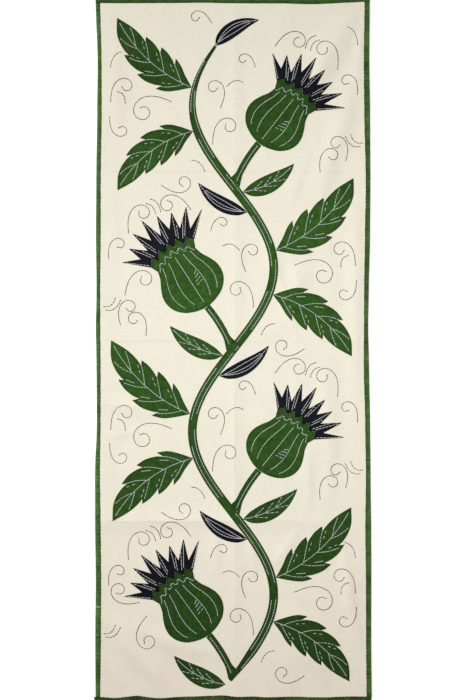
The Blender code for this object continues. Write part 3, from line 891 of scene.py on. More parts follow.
@dataclass
class BindingStrip:
    """One green strip folded round an edge of the ground, puckered by its hem.

    The upper leg's rows are: share of the width, millimetres back from there, millimetres down from
    the top, and shares of the crown and of the hem's pull. The rows rim and shaded are painted light on
    the section's points from the crest of the fold on: rim, at rest, a painted highlight on the outer
    roll and painted shade towards the inner edge; shaded, more painted shade where the hem pulls. The
    hidden edge is back from the strip's inner line and above the leg that the ground lies on.
    """

    side: Side
    lie: Lie
    border: Border
    cloth: float = 0.75 * MM
    height: float = 3.45 * MM
    under_ground: float = 2.50 * MM
    fold_round: float = 1.9 * MM
    fold_steps: int = 8
    crown: float = 0.18 * MM
    pucker: float = 6.7 * MM
    pucker_depth: float = 0.55 * MM
    uneven: Pair = (0.20 * MM, 0.16 * MM)
    uneven_rate: float = 211.0
    pucker_rate: float = 37.0
    strength_rates: Pair = (53.0, 17.0)
    strength: Pair = (0.55, 0.45)
    lower_edge: float = 0.4 * MM
    hidden_edge: Pair = (0.15 * MM, 0.02 * MM)
    hidden_turn: float = 0.5 * MM
    hidden_fold: float = 0.95 * MM
    over_ground: float = 0.05 * MM
    middle: Pair = (0.5, 0.6)
    closing: float = 0.97
    leg: tuple[tuple[float, float, float, float, float], ...] = (
        (0.42, 0.0, 0.0, 1.0, 0.0), (0.64, 0.0, 0.0, 0.4, 0.2), (0.82, 0.0, 0.15, 0.0, 0.5),
        (1.0, 0.35, 0.38, 0.0, 0.4), (1.0, 0.0, 0.65, 0.0, 0.4),
    )
    crest: int = 8
    inside: int = 17
    rim: tuple[float, ...] = (-1.0, -1.1, -1.1, -0.8, -0.3, 0.2, 0.8, 1.0, 1.0)
    shaded: tuple[float, ...] = (0.8, 1.0, 1.0, 1.0, 0.9, 0.7, 0.4, 0.2)
    # How strongly the shade in the puckers is painted, where the hem pulls
    painted_pucker_shade: float = 1.1
    end_height: float = 0.64
    end_reach: float = 4.0 * MM
    end_clear: float = 0.10 * MM
    worn_size: float = 24 * MM
    streak_size: float = 3.6 * MM
    age: float = 0.58
    cuts: tuple[Pair, Pair] = ((0.021, 0.503), (0.021, 1.262))

    def section(self, width: float, squeeze: float) -> np.ndarray:
        """The strip's section, once round: depth inward from the outer edge, and height.

        Args:
            width: The strip's width here.
            squeeze: How much the hem pulls the strip down here, 0 to 1.

        Returns:
            The section's points, the outside of the fold first and its inside after.
        """
        high = self.height - 0.6 * self.pucker_depth * squeeze
        turn, low_face = self.fold_round, self.under_ground + self.over_ground
        crown, pull = self.crown * (1.0 - 0.5 * squeeze), self.pucker_depth * squeeze
        lower, folded = width - self.lower_edge, turn + self.hidden_turn
        middle, inner_middle = [share * width for share in self.middle]
        points = [(depth, 0.0) for depth in (lower, middle, turn)]
        for i in range(1, self.fold_steps):
            angle = math.pi * i / self.fold_steps
            points.append((turn - turn * math.sin(angle) ** 0.8, 0.5 * high - 0.5 * high * math.cos(angle)))
        points.append((turn, high))
        for share, back, down, crowned, drawn in self.leg:
            points.append((share * width - back * MM, high - down * MM + crowned * crown - drawn * pull))
        back, up = self.hidden_edge
        points += [(width - back, self.under_ground + up), (inner_middle, low_face), (folded, low_face)]
        points += [(self.hidden_fold, 0.62 * high), (self.hidden_fold, 0.38 * high)]
        return np.array(points + [(depth, self.cloth) for depth in (folded, inner_middle, lower)])

    def rings(self, squeeze: np.ndarray) -> np.ndarray:
        """Sweep the section along the edge.

        Args:
            squeeze: How much the hem pulls each section down, 0 to 1.

        Returns:
            The sections' points, a row for each station.
        """
        along, outward = self.side.value
        stations = self.border.stations(self.side)
        outer, inner = [line(self.side, stations) for line in (self.border.outer, self.border.inner)]
        base_at = (inner, stations) if along == 1 else (stations, inner)
        base = np.maximum(self.lie.face(*base_at) - self.under_ground, 0.0)
        fine, coarse = self.uneven
        uneven = fine * np.sin(2 * np.pi * stations / self.pucker + 1.1)
        uneven = uneven + coarse * np.sin(self.uneven_rate * stations)
        widths = np.abs(outer - inner) + STRIP_LOOKS[self.side].puckered * uneven
        ends = np.minimum(stations - stations[0], stations[-1] - self.border.beyond(self.side) - stations)
        upper = slice(self.crest, self.inside - 1)
        rings = []
        for i, place in enumerate(stations):
            section = self.section(widths[i], float(squeeze[i]))
            depth, height = section[:, 0], section[:, 1]
            closed = self.closing * (1.0 - ease(ends[i] / (0.4 * self.end_reach)))
            height[self.inside:] += closed * (0.5 * self.height - height[self.inside:])
            height *= self.end_height + (1.0 - self.end_height) * ease(ends[i] / self.end_reach)
            height[upper] = np.maximum(height[upper], self.under_ground + self.end_clear)
            spot = (outer[i] - outward * depth, np.full(len(section), place))
            rings.append(np.stack([*(spot if along == 1 else spot[::-1]), base[i] + height], -1))
        return np.array(rings)

    def build(self) -> Piece:
        """Make the closed strip and dress it.

        Returns:
            The strip's piece.
        """
        look = STRIP_LOOKS[self.side]
        stations = self.border.stations(self.side)
        drift = 0.7 * np.sin(self.pucker_rate * stations)
        squeeze = 0.5 + 0.5 * np.cos(2 * np.pi * stations / self.pucker + drift)
        rate, slow_rate = self.strength_rates
        changing = np.sin(rate * stations + 0.6 * np.sin(slow_rate * stations))
        squeeze = look.puckered * (squeeze ** 2 * (self.strength[0] + self.strength[1] * changing))
        rings = self.rings(squeeze)
        count, around, _ = rings.shape
        number = np.arange(count * around).reshape(count, around)
        beside = np.roll(number, -1, axis=1)
        quads = np.stack([number[:-1], beside[:-1], beside[1:], number[1:]], -1).reshape(-1, 4).tolist()
        ends = [number[0][::-1].tolist(), number[-1].tolist()]
        node = f"binding_{self.side.name.lower()}"
        mesh = new_mesh(f"{node}_strip", rings.reshape(-1, 3), quads + ends)
        rim, shaded = np.zeros(around), np.zeros(around)
        rim[self.crest:self.crest + len(self.rim)] = self.rim
        shaded[self.crest:self.crest + len(self.shaded)] = self.shaded
        worn = [look.worn * noise.noise(Vector(ring[0]) / self.worn_size) for ring in rings]
        streaks = [look.streaked * noise.noise(Vector(ring[0]) / self.streak_size) for ring in rings]
        # rim paints a highlight on the outer roll and shade at the inner edge and in the puckers; tone is the
        # side's painted light, with random patches and streaks
        return new_cloth(node, mesh, Finish.GREEN, {
            "rim": (rim[None] + self.painted_pucker_shade * squeeze[:, None] * shaded[None]).ravel(),
            "wear": np.zeros(count * around),
            "age": np.full(count * around, self.age),
            "tone": np.repeat(look.tone + np.array(worn) + np.array(streaks), around),
        })


@dataclass
class Outline:
    """A patch's outline, read from its solid, with its corners kept and its curves smoothed."""

    node: str
    step: float = 1.7 * MM
    corner: float = math.radians(28)
    straight: float = math.radians(0.8)
    unevenness: float = 0.14 * MM
    wave: float = 11 * MM
    plump: float = 0.36 * MM
    upright: float = 0.3
    merge: float = 0.002 * MM
    curve_steps: int = 8
    at_once: int = 1500
    points: np.ndarray = field(init=False)

    def __post_init__(self) -> None:
        """Read and resample the outline once."""
        line = self.boundary()
        raw = [here for here, turn in zip(line, self.turns(line)) if abs(turn) > self.straight]
        corners = [i for i, turn in enumerate(self.turns(raw)) if abs(turn) > self.corner] or [0]
        points = []
        for here, there in zip(corners, corners[1:] + [corners[0] + len(raw)]):
            points += self.curve([raw[i % len(raw)] for i in range(here, there + 1)])[:-1]
        wave = np.array([noise.noise(Vector((x, y, 0.0)) / self.wave) for x, y in points])
        ahead = directions(np.array(points))
        out = (self.plump + self.unevenness * wave)[:, None]
        self.points = np.array(points) + out * np.stack([ahead[:, 1], -ahead[:, 0]], -1)

    def boundary(self) -> list[np.ndarray]:
        """The solid's own outline, seen from above.

        Returns:
            Its corners, counterclockwise.
        """
        form = bmesh.new()
        form.from_mesh(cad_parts[self.node].data)
        bmesh.ops.remove_doubles(form, verts=form.verts, dist=self.merge)
        form.normal_update()
        following = {}
        for face in (f for f in form.faces if f.normal.z >= self.upright):
            for loop in face.loops:
                others = [other for other in loop.edge.link_faces if other is not face]
                if all(other.normal.z < self.upright for other in others):
                    following[loop.vert] = loop.link_loop_next.vert
        start = corner = next(iter(following))
        line = []
        while len(line) < len(following):
            line.append(np.array(corner.co.xy))
            corner = following[corner]
            if corner is start:
                break
        form.free()
        return line

    @staticmethod
    def turns(line: Sequence[np.ndarray]) -> list[float]:
        """How a closed line turns.

        Args:
            line: Its corners.

        Returns:
            The turn at each corner, in radians.
        """
        turns = []
        for i, here in enumerate(line):
            into, out = here - line[i - 1], line[(i + 1) % len(line)] - here
            turns.append(math.atan2(into[0] * out[1] - into[1] * out[0], float(into @ out)))
        return turns

    def curve(self, run: Sequence[np.ndarray]) -> list[Pair]:
        """Points along a smooth curve through a run of points.

        Args:
            run: The points, from one corner to the next.

        Returns:
            Evenly spaced points, both ends among them.
        """
        if len(run) > 2:
            held = [2 * run[0] - run[1], *run, 2 * run[-1] - run[-2]]
            fine = []
            for a, b, c, d in zip(held, held[1:], held[2:], held[3:]):
                for i in range(self.curve_steps):
                    t = i / self.curve_steps
                    square, cube = (2 * a - 5 * b + 4 * c - d) * t * t, (3 * b - a - 3 * c + d) * t ** 3
                    fine.append(0.5 * ((2 * b) + (c - a) * t + square + cube))
            run = fine + [run[-1]]
        line = np.array(run)
        lengths = np.concatenate([[0.0], np.cumsum(np.linalg.norm(np.diff(line, axis=0), axis=1))])
        places = np.linspace(0, lengths[-1], max(2, round(lengths[-1] / self.step)) + 1)
        return list(zip(*[np.interp(places, lengths, line[:, axis]) for axis in (0, 1)]))

    def nearest(self, points: np.ndarray) -> tuple[np.ndarray, np.ndarray, np.ndarray]:
        """Where some points stand against the outline.

        Args:
            points: The points, one a row.

        Returns:
            Distance to the outline, place along the outline, and whether each point is inside.
        """
        start, end = self.points, np.roll(self.points, -1, 0)
        run = end - start
        square = (run ** 2).sum(1)
        lengths = np.sqrt(square)
        before = np.concatenate([[0.0], np.cumsum(lengths)[:-1]])
        distance, place, inside = [], [], []
        for chunk in np.array_split(points, max(1, len(points) // self.at_once)):
            offset = chunk[:, None, :] - start[None]
            share = np.clip((offset * run).sum(2) / square, 0.0, 1.0)
            gap = np.linalg.norm(offset - share[..., None] * run, axis=2)
            closest = gap.argmin(1)
            row = np.arange(len(chunk))
            distance.append(gap[row, closest])
            place.append(before[closest] + share[row, closest] * lengths[closest])
            above = (start[None, :, 1] > chunk[:, None, 1]) != (end[None, :, 1] > chunk[:, None, 1])
            rise = np.where(run[:, 1] == 0, 1e-12, run[:, 1])
            crossing = start[None, :, 0] + run[None, :, 0] * (chunk[:, None, 1] - start[None, :, 1]) / rise
            inside.append(((above & (chunk[:, None, 0] < crossing)).sum(1) % 2) == 1)
        return np.concatenate(distance), np.concatenate(place), np.concatenate(inside)

    def area(self) -> float:
        """Area inside the outline."""
        x, y = self.points.T
        return float(0.5 * (x * np.roll(y, -1) - np.roll(x, -1) * y).sum())

    def cut(self) -> Pair:
        """Width and length to cut: a rectangle along its own length, or the stem's as it runs.

        Returns:
            The rectangle's two sides.
        """
        if self.node == "stem":
            round_it = np.linalg.norm(np.roll(self.points, -1, 0) - self.points, axis=1).sum()
            return STEM_WIDTH, float(round_it) / 2
        middle = self.points - self.points.mean(0)
        spans = [float(np.ptp(middle @ axis)) for axis in np.linalg.svd(middle, full_matrices=False)[2]]
        return min(spans), max(spans)


@dataclass
class Patch:
    """A sewn-on piece of cotton with a turned-under edge that the hem stitches pull down.

    The net's rows follow the outline at depths in millimetres, and take each so-many-th point. The
    tones are shares lighter or darker at heights along the panel.
    """

    name: str
    lie: Lie
    low_edge: float = 0.10 * MM
    edge_height: float = 0.95 * MM
    middle_height: float = 0.66 * MM
    under: float = 0.04 * MM
    hem_height: float = 0.42 * MM
    roll: float = 0.55 * MM
    allowance: float = 4.6 * MM
    pucker: float = 5.0 * MM
    pucker_depth: float = 0.20 * MM
    pucker_reach: float = 1.6 * MM
    # Depth of the band of painted shade just inside the turned edge
    rim: float = 1.3 * MM
    grid: float = 4.0 * MM
    grid_clear: float = 4.4 * MM
    grid_rows: float = 0.87
    row_clear: float = 0.8
    turned: Pair = (0.5, 0.9)
    rows: tuple[tuple[float, int], ...] = ((0.20, 1), (0.60, 1), (1.5, 2), (3.0, 3))
    under_skip: int = 5
    tones: tuple[Pair, ...] = ((-0.48, -0.30), (-0.16, 0.0), (0.16, 0.20), (0.48, -0.15))
    outline: Outline = field(init=False)

    def __post_init__(self) -> None:
        """Read the outline."""
        self.outline = Outline(self.name)

    @property
    def finish(self) -> Finish:
        """The patch's cotton, by the name of its solid."""
        return Finish.NAVY if self.name.startswith(("crown", "dark_leaf")) else Finish.GREEN

    def rise(self, distance: np.ndarray, place: np.ndarray) -> np.ndarray:
        """Height of the patch's face above the ground cloth's.

        Args:
            distance: Distance to the outline.
            place: Place along the outline.

        Returns:
            Heights in metres.
        """
        rolled = np.sqrt(np.clip(1.0 - (1.0 - np.clip(distance / self.roll, 0, 1)) ** 2, 0, 1))
        edge = self.low_edge + (self.edge_height - self.low_edge) * rolled
        first, reach = self.turned
        inner = ease((distance - first * self.allowance) / (reach * self.allowance))
        pull = 0.5 + 0.5 * np.cos(2 * np.pi * place / self.pucker)
        puckers = self.pucker_depth * pull * rolled * np.exp(-distance / self.pucker_reach)
        return edge - (self.edge_height - self.middle_height) * inner - puckers

    def points_inside(self) -> np.ndarray:
        """Points of the patch's net, within its outline.

        Returns:
            Rows that follow the outline, and an even grid between them.
        """
        line = self.outline.points
        ahead = directions(line)
        inward = np.stack([-ahead[:, 1], ahead[:, 0]], -1)
        rows = [line[::skip] + depth * MM * inward[::skip] for depth, skip in self.rows]
        depths = [np.full(len(row), self.row_clear * depth * MM) for row, (depth, _) in zip(rows, self.rows)]
        low, high = line.min(0), line.max(0)
        ys = np.arange(low[1], high[1], self.grid * self.grid_rows)
        x, y = np.meshgrid(np.arange(low[0], high[0], self.grid), ys)
        x = x + 0.5 * self.grid * (np.arange(len(ys)) % 2)[:, None]
        points = np.concatenate([*rows, np.stack([x.ravel(), y.ravel()], -1)])
        least = np.concatenate([*depths, np.full(x.size, self.grid_clear)])
        distance, _, inside = self.outline.nearest(points)
        return points[inside & (distance > least)]

    def net(self, inner: np.ndarray) -> tuple[np.ndarray, list[Sequence[int]]]:
        """Triangles over the outline and some points in it.

        Args:
            inner: The points inside.

        Returns:
            The points, the outline's first, and the triangles.
        """
        line = self.outline.points
        places = [Vector(p) for p in np.concatenate([line, inner]).tolist()]
        made = delaunay_2d_cdt(places, [], [list(range(len(line)))], 0, 1e-7, True)
        faces = [face for face, ring in zip(made[2], made[5]) if 0 in ring]
        return np.array([tuple(p) for p in made[0]]), faces

    def build(self) -> Piece:
        """Make the patch: its face, its underside and the edge that joins them.

        Returns:
            The patch's piece.
        """
        size = len(self.outline.points)
        over, over_net = self.net(self.points_inside())
        under, under_net = self.net(over[size:][::self.under_skip])
        distance, place, _ = self.outline.nearest(over)
        distance[:size] = 0.0
        top = self.lie.face(*over.T) + self.rise(distance, place)
        bottom = self.lie.face(*under.T) + self.under
        count = len(over)
        polygons = [tuple(face) for face in over_net]
        polygons += [tuple(corner + count for corner in face[::-1]) for face in under_net]
        polygons += [(i, i + count, (i + 1) % size + count, (i + 1) % size) for i in range(size)]
        points = np.concatenate([np.column_stack([over, top]), np.column_stack([under, bottom])])
        mesh = new_mesh(f"{self.name}_patch", points, polygons)
        # Painted shade of the turned edge: a darker band just inside the outline, and the whole underside
        # darkened
        rim = np.exp(-(((distance - self.rim) / self.rim) ** 2))
        wear = sum(fold.wear(*over.T) for fold in PRESSED_FOLDS)
        return new_cloth(self.name, mesh, self.finish, {
            "rim": np.concatenate([rim, np.ones(len(under))]),
            "wear": np.concatenate([wear, np.zeros(len(under))]),
            "tone": np.interp(points[:, 1], *zip(*self.tones)),
        })

    def hem(self) -> list[Vector]:
        """The closed line that the hem stitches follow."""
        x, y = self.outline.points.T
        return [Vector(p) for p in zip(x, y, self.lie.face(x, y) + self.hem_height)]


@dataclass(frozen=True)
class Growth:
    """What grows at a bend: root above the bend, side of the stem, heading and turn, length and width."""

    rise: float
    side: int
    heading: float
    turn: float
    length: float
    width: float


@dataclass(frozen=True)
class Bend:
    """A bend of the stem: share of full size of its leaves and its bulb, and the bulb's lean."""

    leaves: float
    bulb: float
    lean: float


@dataclass(frozen=True)
class Veins:
    """Lines stitched on a leaf: its midrib, and on each side lines of a length that start at shares.

    The midrib is start, end, sway and segments. The others start near and end far from it, in shares of
    the leaf's width, sway by such a share, and have so many segments.
    """

    midrib: tuple[float, float, float, int]
    starts: tuple[float, ...]
    length: float
    near: float
    far: float
    sway: float
    count: int


@dataclass(frozen=True)
class Tendril:
    """A stitched curl: its root from the bend, heading and bend in degrees, length, and end coil."""

    x: float
    y: float
    heading: float
    bend: float
    length: float
    coil: float


TENDRILS = tuple(Tendril(*row) for row in (
    (0.114, 0.006, 24, -40, 0.150, -6.6), (0.112, -0.008, -16, 40, 0.158, 6.6),
    (0.222, 0.006, 92, 24, 0.100, 5.6), (0.224, -0.024, -92, -20, 0.078, -5.2),
    (0.074, 0.078, 58, -20, 0.060, -5.0), (0.158, 0.176, 96, -30, 0.092, -5.4),
    (0.205, 0.196, 74, 40, 0.092, 5.4), (0.037, -0.070, 92, 26, 0.116, 6.4),
    (0.022, -0.004, 112, -20, 0.098, -6.0), (-0.158, -0.040, 228, 50, 0.128, 6.6),
    (-0.172, -0.014, 192, -40, 0.118, -6.4), (-0.116, -0.090, 214, -30, 0.132, -6.6),
    (-0.078, 0.108, 124, 46, 0.118, 6.4), (-0.040, 0.070, 74, -30, 0.062, -5.0),
    (-0.190, 0.066, 96, -30, 0.116, -6.2), (-0.226, 0.020, 92, -20, 0.074, -5.0),
    (-0.020, -0.196, 206, 20, 0.074, 5.2), (-0.120, 0.128, 148, -34, 0.100, -6.0),
    (0.150, -0.118, 248, 30, 0.110, 6.0), (0.128, -0.148, 214, -30, 0.104, -6.0),
    (0.196, 0.250, 100, 30, 0.120, 6.2), (0.226, -0.190, 262, -24, 0.110, -6.0),
    (-0.066, 0.236, 116, 40, 0.100, 5.8), (0.040, 0.150, 60, -20, 0.070, -5.2),
    (0.106, 0.012, 70, 40, 0.026, 0.5), (0.114, 0.018, 66, 40, 0.022, 0.5),
    (0.186, 0.006, 96, -50, 0.030, -0.6), (0.196, 0.004, 92, -50, 0.024, -0.6),
    (0.010, 0.034, 130, 50, 0.030, 0.6), (0.018, 0.038, 128, 50, 0.024, 0.6),
    (-0.205, -0.060, 250, -50, 0.032, -0.6), (-0.214, -0.056, 252, -50, 0.026, -0.6),
    (-0.132, 0.104, 100, 40, 0.028, 0.5), (-0.141, 0.100, 104, 40, 0.024, 0.5),
    (0.222, 0.070, 96, 40, 0.032, 0.5), (0.052, -0.120, 70, -40, 0.030, -0.5),
    (-0.226, 0.110, 88, -30, 0.036, -0.7), (-0.060, -0.030, 110, 40, 0.028, 0.5),
))


@dataclass
class Vine:
    """The vine's growth, as the solids have it, and the lines stitched on and round it."""

    swing: float = 0.074
    bend_step: float = 0.297
    first_bend: float = -0.445
    foot: float = -0.600
    head: float = 0.552
    gap: float = 0.8 * MM
    # The stem's taper at each end: least share of its width, and length; its lines: aside, start,
    # length and pause; how far below the head the last one starts and ends
    foot_taper: Pair = (0.35, 0.050)
    head_taper: Pair = (0.30, 0.160)
    stem_rows: tuple[tuple[float, float, float, float], ...] = (
        (0.52, -0.575, 0.120, 0.034), (-0.48, -0.545, 0.088, 0.052),
    )
    stem_ends: Pair = (0.05, 0.02)
    stem_segment: float = 0.012
    bends: tuple[Bend, ...] = (
        Bend(0.97, 1.00, 0), Bend(1.02, 0.96, 3), Bend(1.00, 1.03, -3), Bend(0.96, 0.98, 2),
    )
    # A toothed leaf's midrib, and its veins: first place, step, shift on the right side, and number;
    # how far aside they start and end, and between which shares and how far aside the strokes lie
    toothed_midrib: tuple[float, float, int] = (0.03, 0.93, 24)
    toothed_veins: tuple[float, float, float, int] = (0.09, 0.19, 0.03, 4)
    vein_length: float = 0.15
    vein_reach: Pair = (0.03, 0.74)
    vein_bow: float = 1.5 * MM
    fullest: Pair = (0.72, 0.75)
    strokes: tuple[Pair, Pair] = ((0.11, 0.16), (0.50, 0.72))
    upper_leaf: Growth = Growth(0.030, 1, 22, 42, 0.196, 0.071)
    lower_leaf: Growth = Growth(-0.046, 1, -14, -48, 0.186, 0.067)
    plain_leaf: Growth = Growth(-0.164, -1, 172, -42, 0.112, 0.032)
    dark_leaf: Growth = Growth(0.106, -1, 172, -46, 0.106, 0.026)
    branch: Growth = Growth(-0.146, -1, 112, 18, 0.082, 0.012)
    branch_line: tuple[float, float, float, int] = (0.06, 0.92, 1.2 * MM, 8)
    tip_leaf: Growth = Growth(0.0, 0, 0, -48, 0.094, 0.027)
    plain_veins: Veins = Veins((0.05, 0.90, 0.0, 14), (0.22, 0.40, 0.58), 0.13, 0.07, 0.27, 0.0, 3)
    dark_veins: Veins = Veins((0.04, 0.93, 1.2 * MM, 14), (0.12,), 0.68, 0.05, 0.09, 0.18, 12)
    bulb_heading: float = 126.0
    bulb_size: float = 0.116
    bulb_rows: tuple[Pair, ...] = (
        (0.00, 0.06), (0.03, 0.19), (0.10, 0.335), (0.21, 0.44), (0.34, 0.49),
        (0.47, 0.485), (0.60, 0.435), (0.72, 0.37), (0.84, 0.335),
    )
    ribs: tuple[float, ...] = (-0.74, -0.40, 0.0, 0.40, 0.74)
    # On a bulb: the lip's half width, height and rise; three points of a mark, each with its place,
    # its shift from mark to mark and its height; the marks' first height, step and number
    rib_steps: int = 14
    lip: Triple = (0.30, 0.855, 0.09)
    lip_turns: Pair = (-0.020, 0.050)
    lip_steps: int = 10
    marks: tuple[Triple, ...] = (
        (0.08, 0.015, 0.0), (0.115, 0.010, 0.012), (0.15, 0.0, 0.018),
    )
    mark_rows: tuple[float, float, int] = (0.36, 0.055, 4)
    crown_spikes: int = 8
    crown_spread: float = math.radians(100)
    crown_centre: float = 0.66
    # A dark spike's tip, with the size and the rate of its unevenness; where its line starts, and how
    # short of the tip it ends; the same for the mark beside it, after its turn
    spike: Triple = (0.93, 0.05, 2.3)
    spike_line: Pair = (0.54, 0.08)
    spike_mark: Triple = (0.062, 0.50, 0.22)
    spike_lean: float = 0.9
    spike_steps: int = 5
    curl_steps: int = 48
    curl_power: float = 2.3

    def stem_heading(self, y: float) -> float:
        """The stem's direction at a height, in radians."""
        phase = math.pi * (y - self.first_bend) / self.bend_step
        return math.atan2(1.0, -self.swing * math.pi / self.bend_step * math.sin(phase))

    def stem_half(self, y: float) -> float:
        """Half of the stem's width.

        Args:
            y: Height on the stem.

        Returns:
            The half width, less at the foot and towards the head.
        """
        tapers = [1.0]
        for (least, length), off in ((self.foot_taper, y - self.foot), (self.head_taper, self.head - y)):
            tapers.append(least + (1.0 - least) * off / length)
        return 0.5 * STEM_WIDTH * min(tapers)

    def beside_stem(self, y: float, aside: float) -> Pair:
        """A point beside the stem's middle line.

        Args:
            y: Height on the stem.
            aside: Distance to its right.

        Returns:
            The point.
        """
        heading = self.stem_heading(y)
        x = self.swing * math.cos(math.pi * (y - self.first_bend) / self.bend_step)
        return x + aside * math.sin(heading), y - aside * math.cos(heading)

    def at_bend(self, bend: int, heading: float) -> tuple[int, float, float]:
        """What a bend gives to all that grows there.

        Args:
            bend: The bend's number, from the foot.
            heading: A heading in degrees, as at a bend on the right.

        Returns:
            The bend's hand, 1 on the right and -1 on the left, its height, and the heading in radians.
        """
        hand = 1 if bend % 2 == 0 else -1
        mirrored = heading if hand > 0 else 180 - heading
        return hand, self.first_bend + bend * self.bend_step, math.radians(mirrored)

    @staticmethod
    def turning(root: Pair, heading: float, length: float, turn: float) -> Midline:
        """An evenly turning line.

        Args:
            root: Where it starts.
            heading: Its direction there, in radians.
            length: Its length.
            turn: How far it turns in all, in radians.

        Returns:
            A function that gives the point at a share of its length, aside to its left.
        """
        radius = length / turn

        def point(share: float, aside: float) -> Pair:
            """The point on or beside the line.

            Args:
                share: Share of the line's length.
                aside: Distance to its left.

            Returns:
                The point.
            """
            ahead, left = radius * math.sin(turn * share), radius * (1.0 - math.cos(turn * share))
            x = root[0] + ahead * math.cos(heading) - left * math.sin(heading)
            y = root[1] + ahead * math.sin(heading) + left * math.cos(heading)
            now = heading + turn * share
            return x - aside * math.sin(now), y + aside * math.cos(now)

        return point

    def growth_line(self, growth: Growth, bend: int, size: float = 1.0) -> Midline:
        """The middle line of what grows at a bend.

        Args:
            growth: What grows there.
            bend: The bend's number, from the foot.
            size: Share of full size.

        Returns:
            The line, as a function of share and aside.
        """
        hand, height, heading = self.at_bend(bend, growth.heading)
        y = height + growth.rise
        root = self.beside_stem(y, hand * growth.side * (self.stem_half(y) + self.gap))
        line = self.turning(root, heading, growth.length * size, hand * math.radians(growth.turn))
        return lambda share, aside: line(share, hand * aside)

    def bulb_place(self, bend: int) -> Midline:
        """Places on a bulb drawn upwards at a length of 1.

        Args:
            bend: The bend's number, from the foot.

        Returns:
            A function from across and up on the drawn bulb to the panel.
        """
        row = self.bends[bend]
        base = self.growth_line(self.branch, bend)(1.0 + 2 * self.gap / self.branch.length, 0.0)
        hand = self.at_bend(bend, 0.0)[0]
        heading = math.radians(90 + hand * (self.bulb_heading - 90 + row.lean)) - math.pi / 2
        size = self.bulb_size * row.bulb
        c, s = size * math.cos(heading), size * math.sin(heading)
        return lambda u, v: (base[0] + c * u - s * v, base[1] + s * u + c * v)

    @staticmethod
    def along(
        line: Midline, start: float, end: float, aside: Pair, sway: float = 0.0, count: int = 12
    ) -> Run:
        """A stretch beside a middle line.

        Args:
            line: The middle line.
            start: Share where it starts.
            end: Share where it ends.
            aside: Its distance aside at start and end.
            sway: How far it bows in between.
            count: Its segments.

        Returns:
            Its points.
        """
        points = []
        for share in (i / count for i in range(count + 1)):
            off = aside[0] + (aside[1] - aside[0]) * share + sway * math.sin(math.pi * share)
            points.append(line(start + (end - start) * share, off))
        return points

    def toothed_leaf_veins(self, line: Midline, width: float) -> list[Run]:
        """Midrib, side veins and short strokes of a toothed leaf.

        Args:
            line: The leaf's middle line.
            width: Its width.

        Returns:
            The lines to stitch.
        """
        low, tip, segments = self.toothed_midrib
        first, apart, shift, count = self.toothed_veins
        (stroke_start, stroke_end), shares = self.strokes
        near, far = self.vein_reach
        place_power, power = self.fullest
        runs = [self.along(line, low, tip, (0.0, 0.0), count=segments)]
        for side in (-1, 1):
            for i in range(count):
                start = first + apart * i + (shift if side > 0 else 0.0)
                end = start + self.vein_length
                full = math.sin(math.pi * min(tip, end) ** place_power) ** power
                reach = side * 0.5 * width * full * far
                aside = (side * near * width, reach)
                runs.append(self.along(line, start, end, aside, side * self.vein_bow, 6))
                if i < count - 1:
                    aside = (shares[0] * reach, shares[1] * reach)
                    runs.append(self.along(line, start + stroke_start, start + stroke_end, aside, count=3))
        return runs

    def leaf_lines(self, line: Midline, width: float, veins: Veins) -> list[Run]:
        """Lines of a plain or a dark leaf.

        Args:
            line: The leaf's middle line.
            width: Its width.
            veins: Its lines.

        Returns:
            The lines to stitch.
        """
        first, last, sway, count = veins.midrib
        runs = [self.along(line, first, last, (0.0, 0.0), sway, count)]
        for side in (-width, width):
            aside = (side * veins.near, side * veins.far)
            for start in veins.starts:
                end = start + veins.length
                runs.append(self.along(line, start, end, aside, side * veins.sway, veins.count))
        return runs

    def bulb_lines(self, place: Midline) -> list[Run]:
        """Ribs of a bulb, the line under its lip and marks on its shoulder.

        Args:
            place: Places on the bulb.

        Returns:
            The lines to stitch.
        """
        runs = []
        for rib in self.ribs:
            low, high = 0.10 + 0.10 * abs(rib), 0.86 - 0.05 * abs(rib)
            heights = [low + (high - low) * i / self.rib_steps for i in range(self.rib_steps + 1)]
            halves = np.interp(heights, *zip(*self.bulb_rows))
            runs.append([place(rib * half, v) for half, v in zip(halves, heights)])
        half, height, rise = self.lip
        lip = []
        for i in range(self.lip_steps + 1):
            dome = rise * math.sin(math.pi * i / self.lip_steps)
            lip.append(place(half - 2 * half * i / self.lip_steps, height + dome + self.lip_turns[i % 2]))
        runs.append(lip)
        first, apart, count = self.mark_rows
        for j in range(count):
            v = first + apart * j
            runs.append([place(across + shift * j, v + up) for across, shift, up in self.marks])
        return runs

    def crown_lines(self, place: Midline) -> list[Run]:
        """Lines from the foot to the tip of each dark spike.

        Args:
            place: Places on the bulb that carries the crown.

        Returns:
            The lines to stitch.
        """
        runs = []
        parts = 2 * self.crown_spikes - 2
        length, uneven, rate = self.spike
        for i in range(0, parts + 1, 2):
            angle = self.crown_spread * (i / parts - 0.5)
            tip = length + uneven * math.sin(rate * i)
            strokes = [(0.0, self.spike_line[0], tip - self.spike_line[1])]
            if 0 < i < parts:
                turn, low, short = self.spike_mark
                strokes.append((turn if i % 4 else -turn, low, tip - short))
            for turn, low, high in strokes:
                lean = angle + turn * self.spike_lean
                across, up = math.sin(lean), self.crown_centre
                reaches = [low + (high - low) * k / self.spike_steps for k in range(self.spike_steps + 1)]
                runs.append([place(reach * across, up + reach * math.cos(lean)) for reach in reaches])
        return runs

    def stem_lines(self) -> list[Run]:
        """Broken lines along both sides of the stem.

        Returns:
            The lines to stitch.
        """
        runs = []
        last_start, last_end = [self.head - short for short in self.stem_ends]
        for aside, start, length, pause in self.stem_rows:
            y = start
            while y < last_start:
                end = min(y + length, last_end)
                heights = np.linspace(y, end, max(4, int((end - y) / self.stem_segment)))
                runs.append([self.beside_stem(v, aside * self.stem_half(v)) for v in heights])
                y = end + pause
        return runs

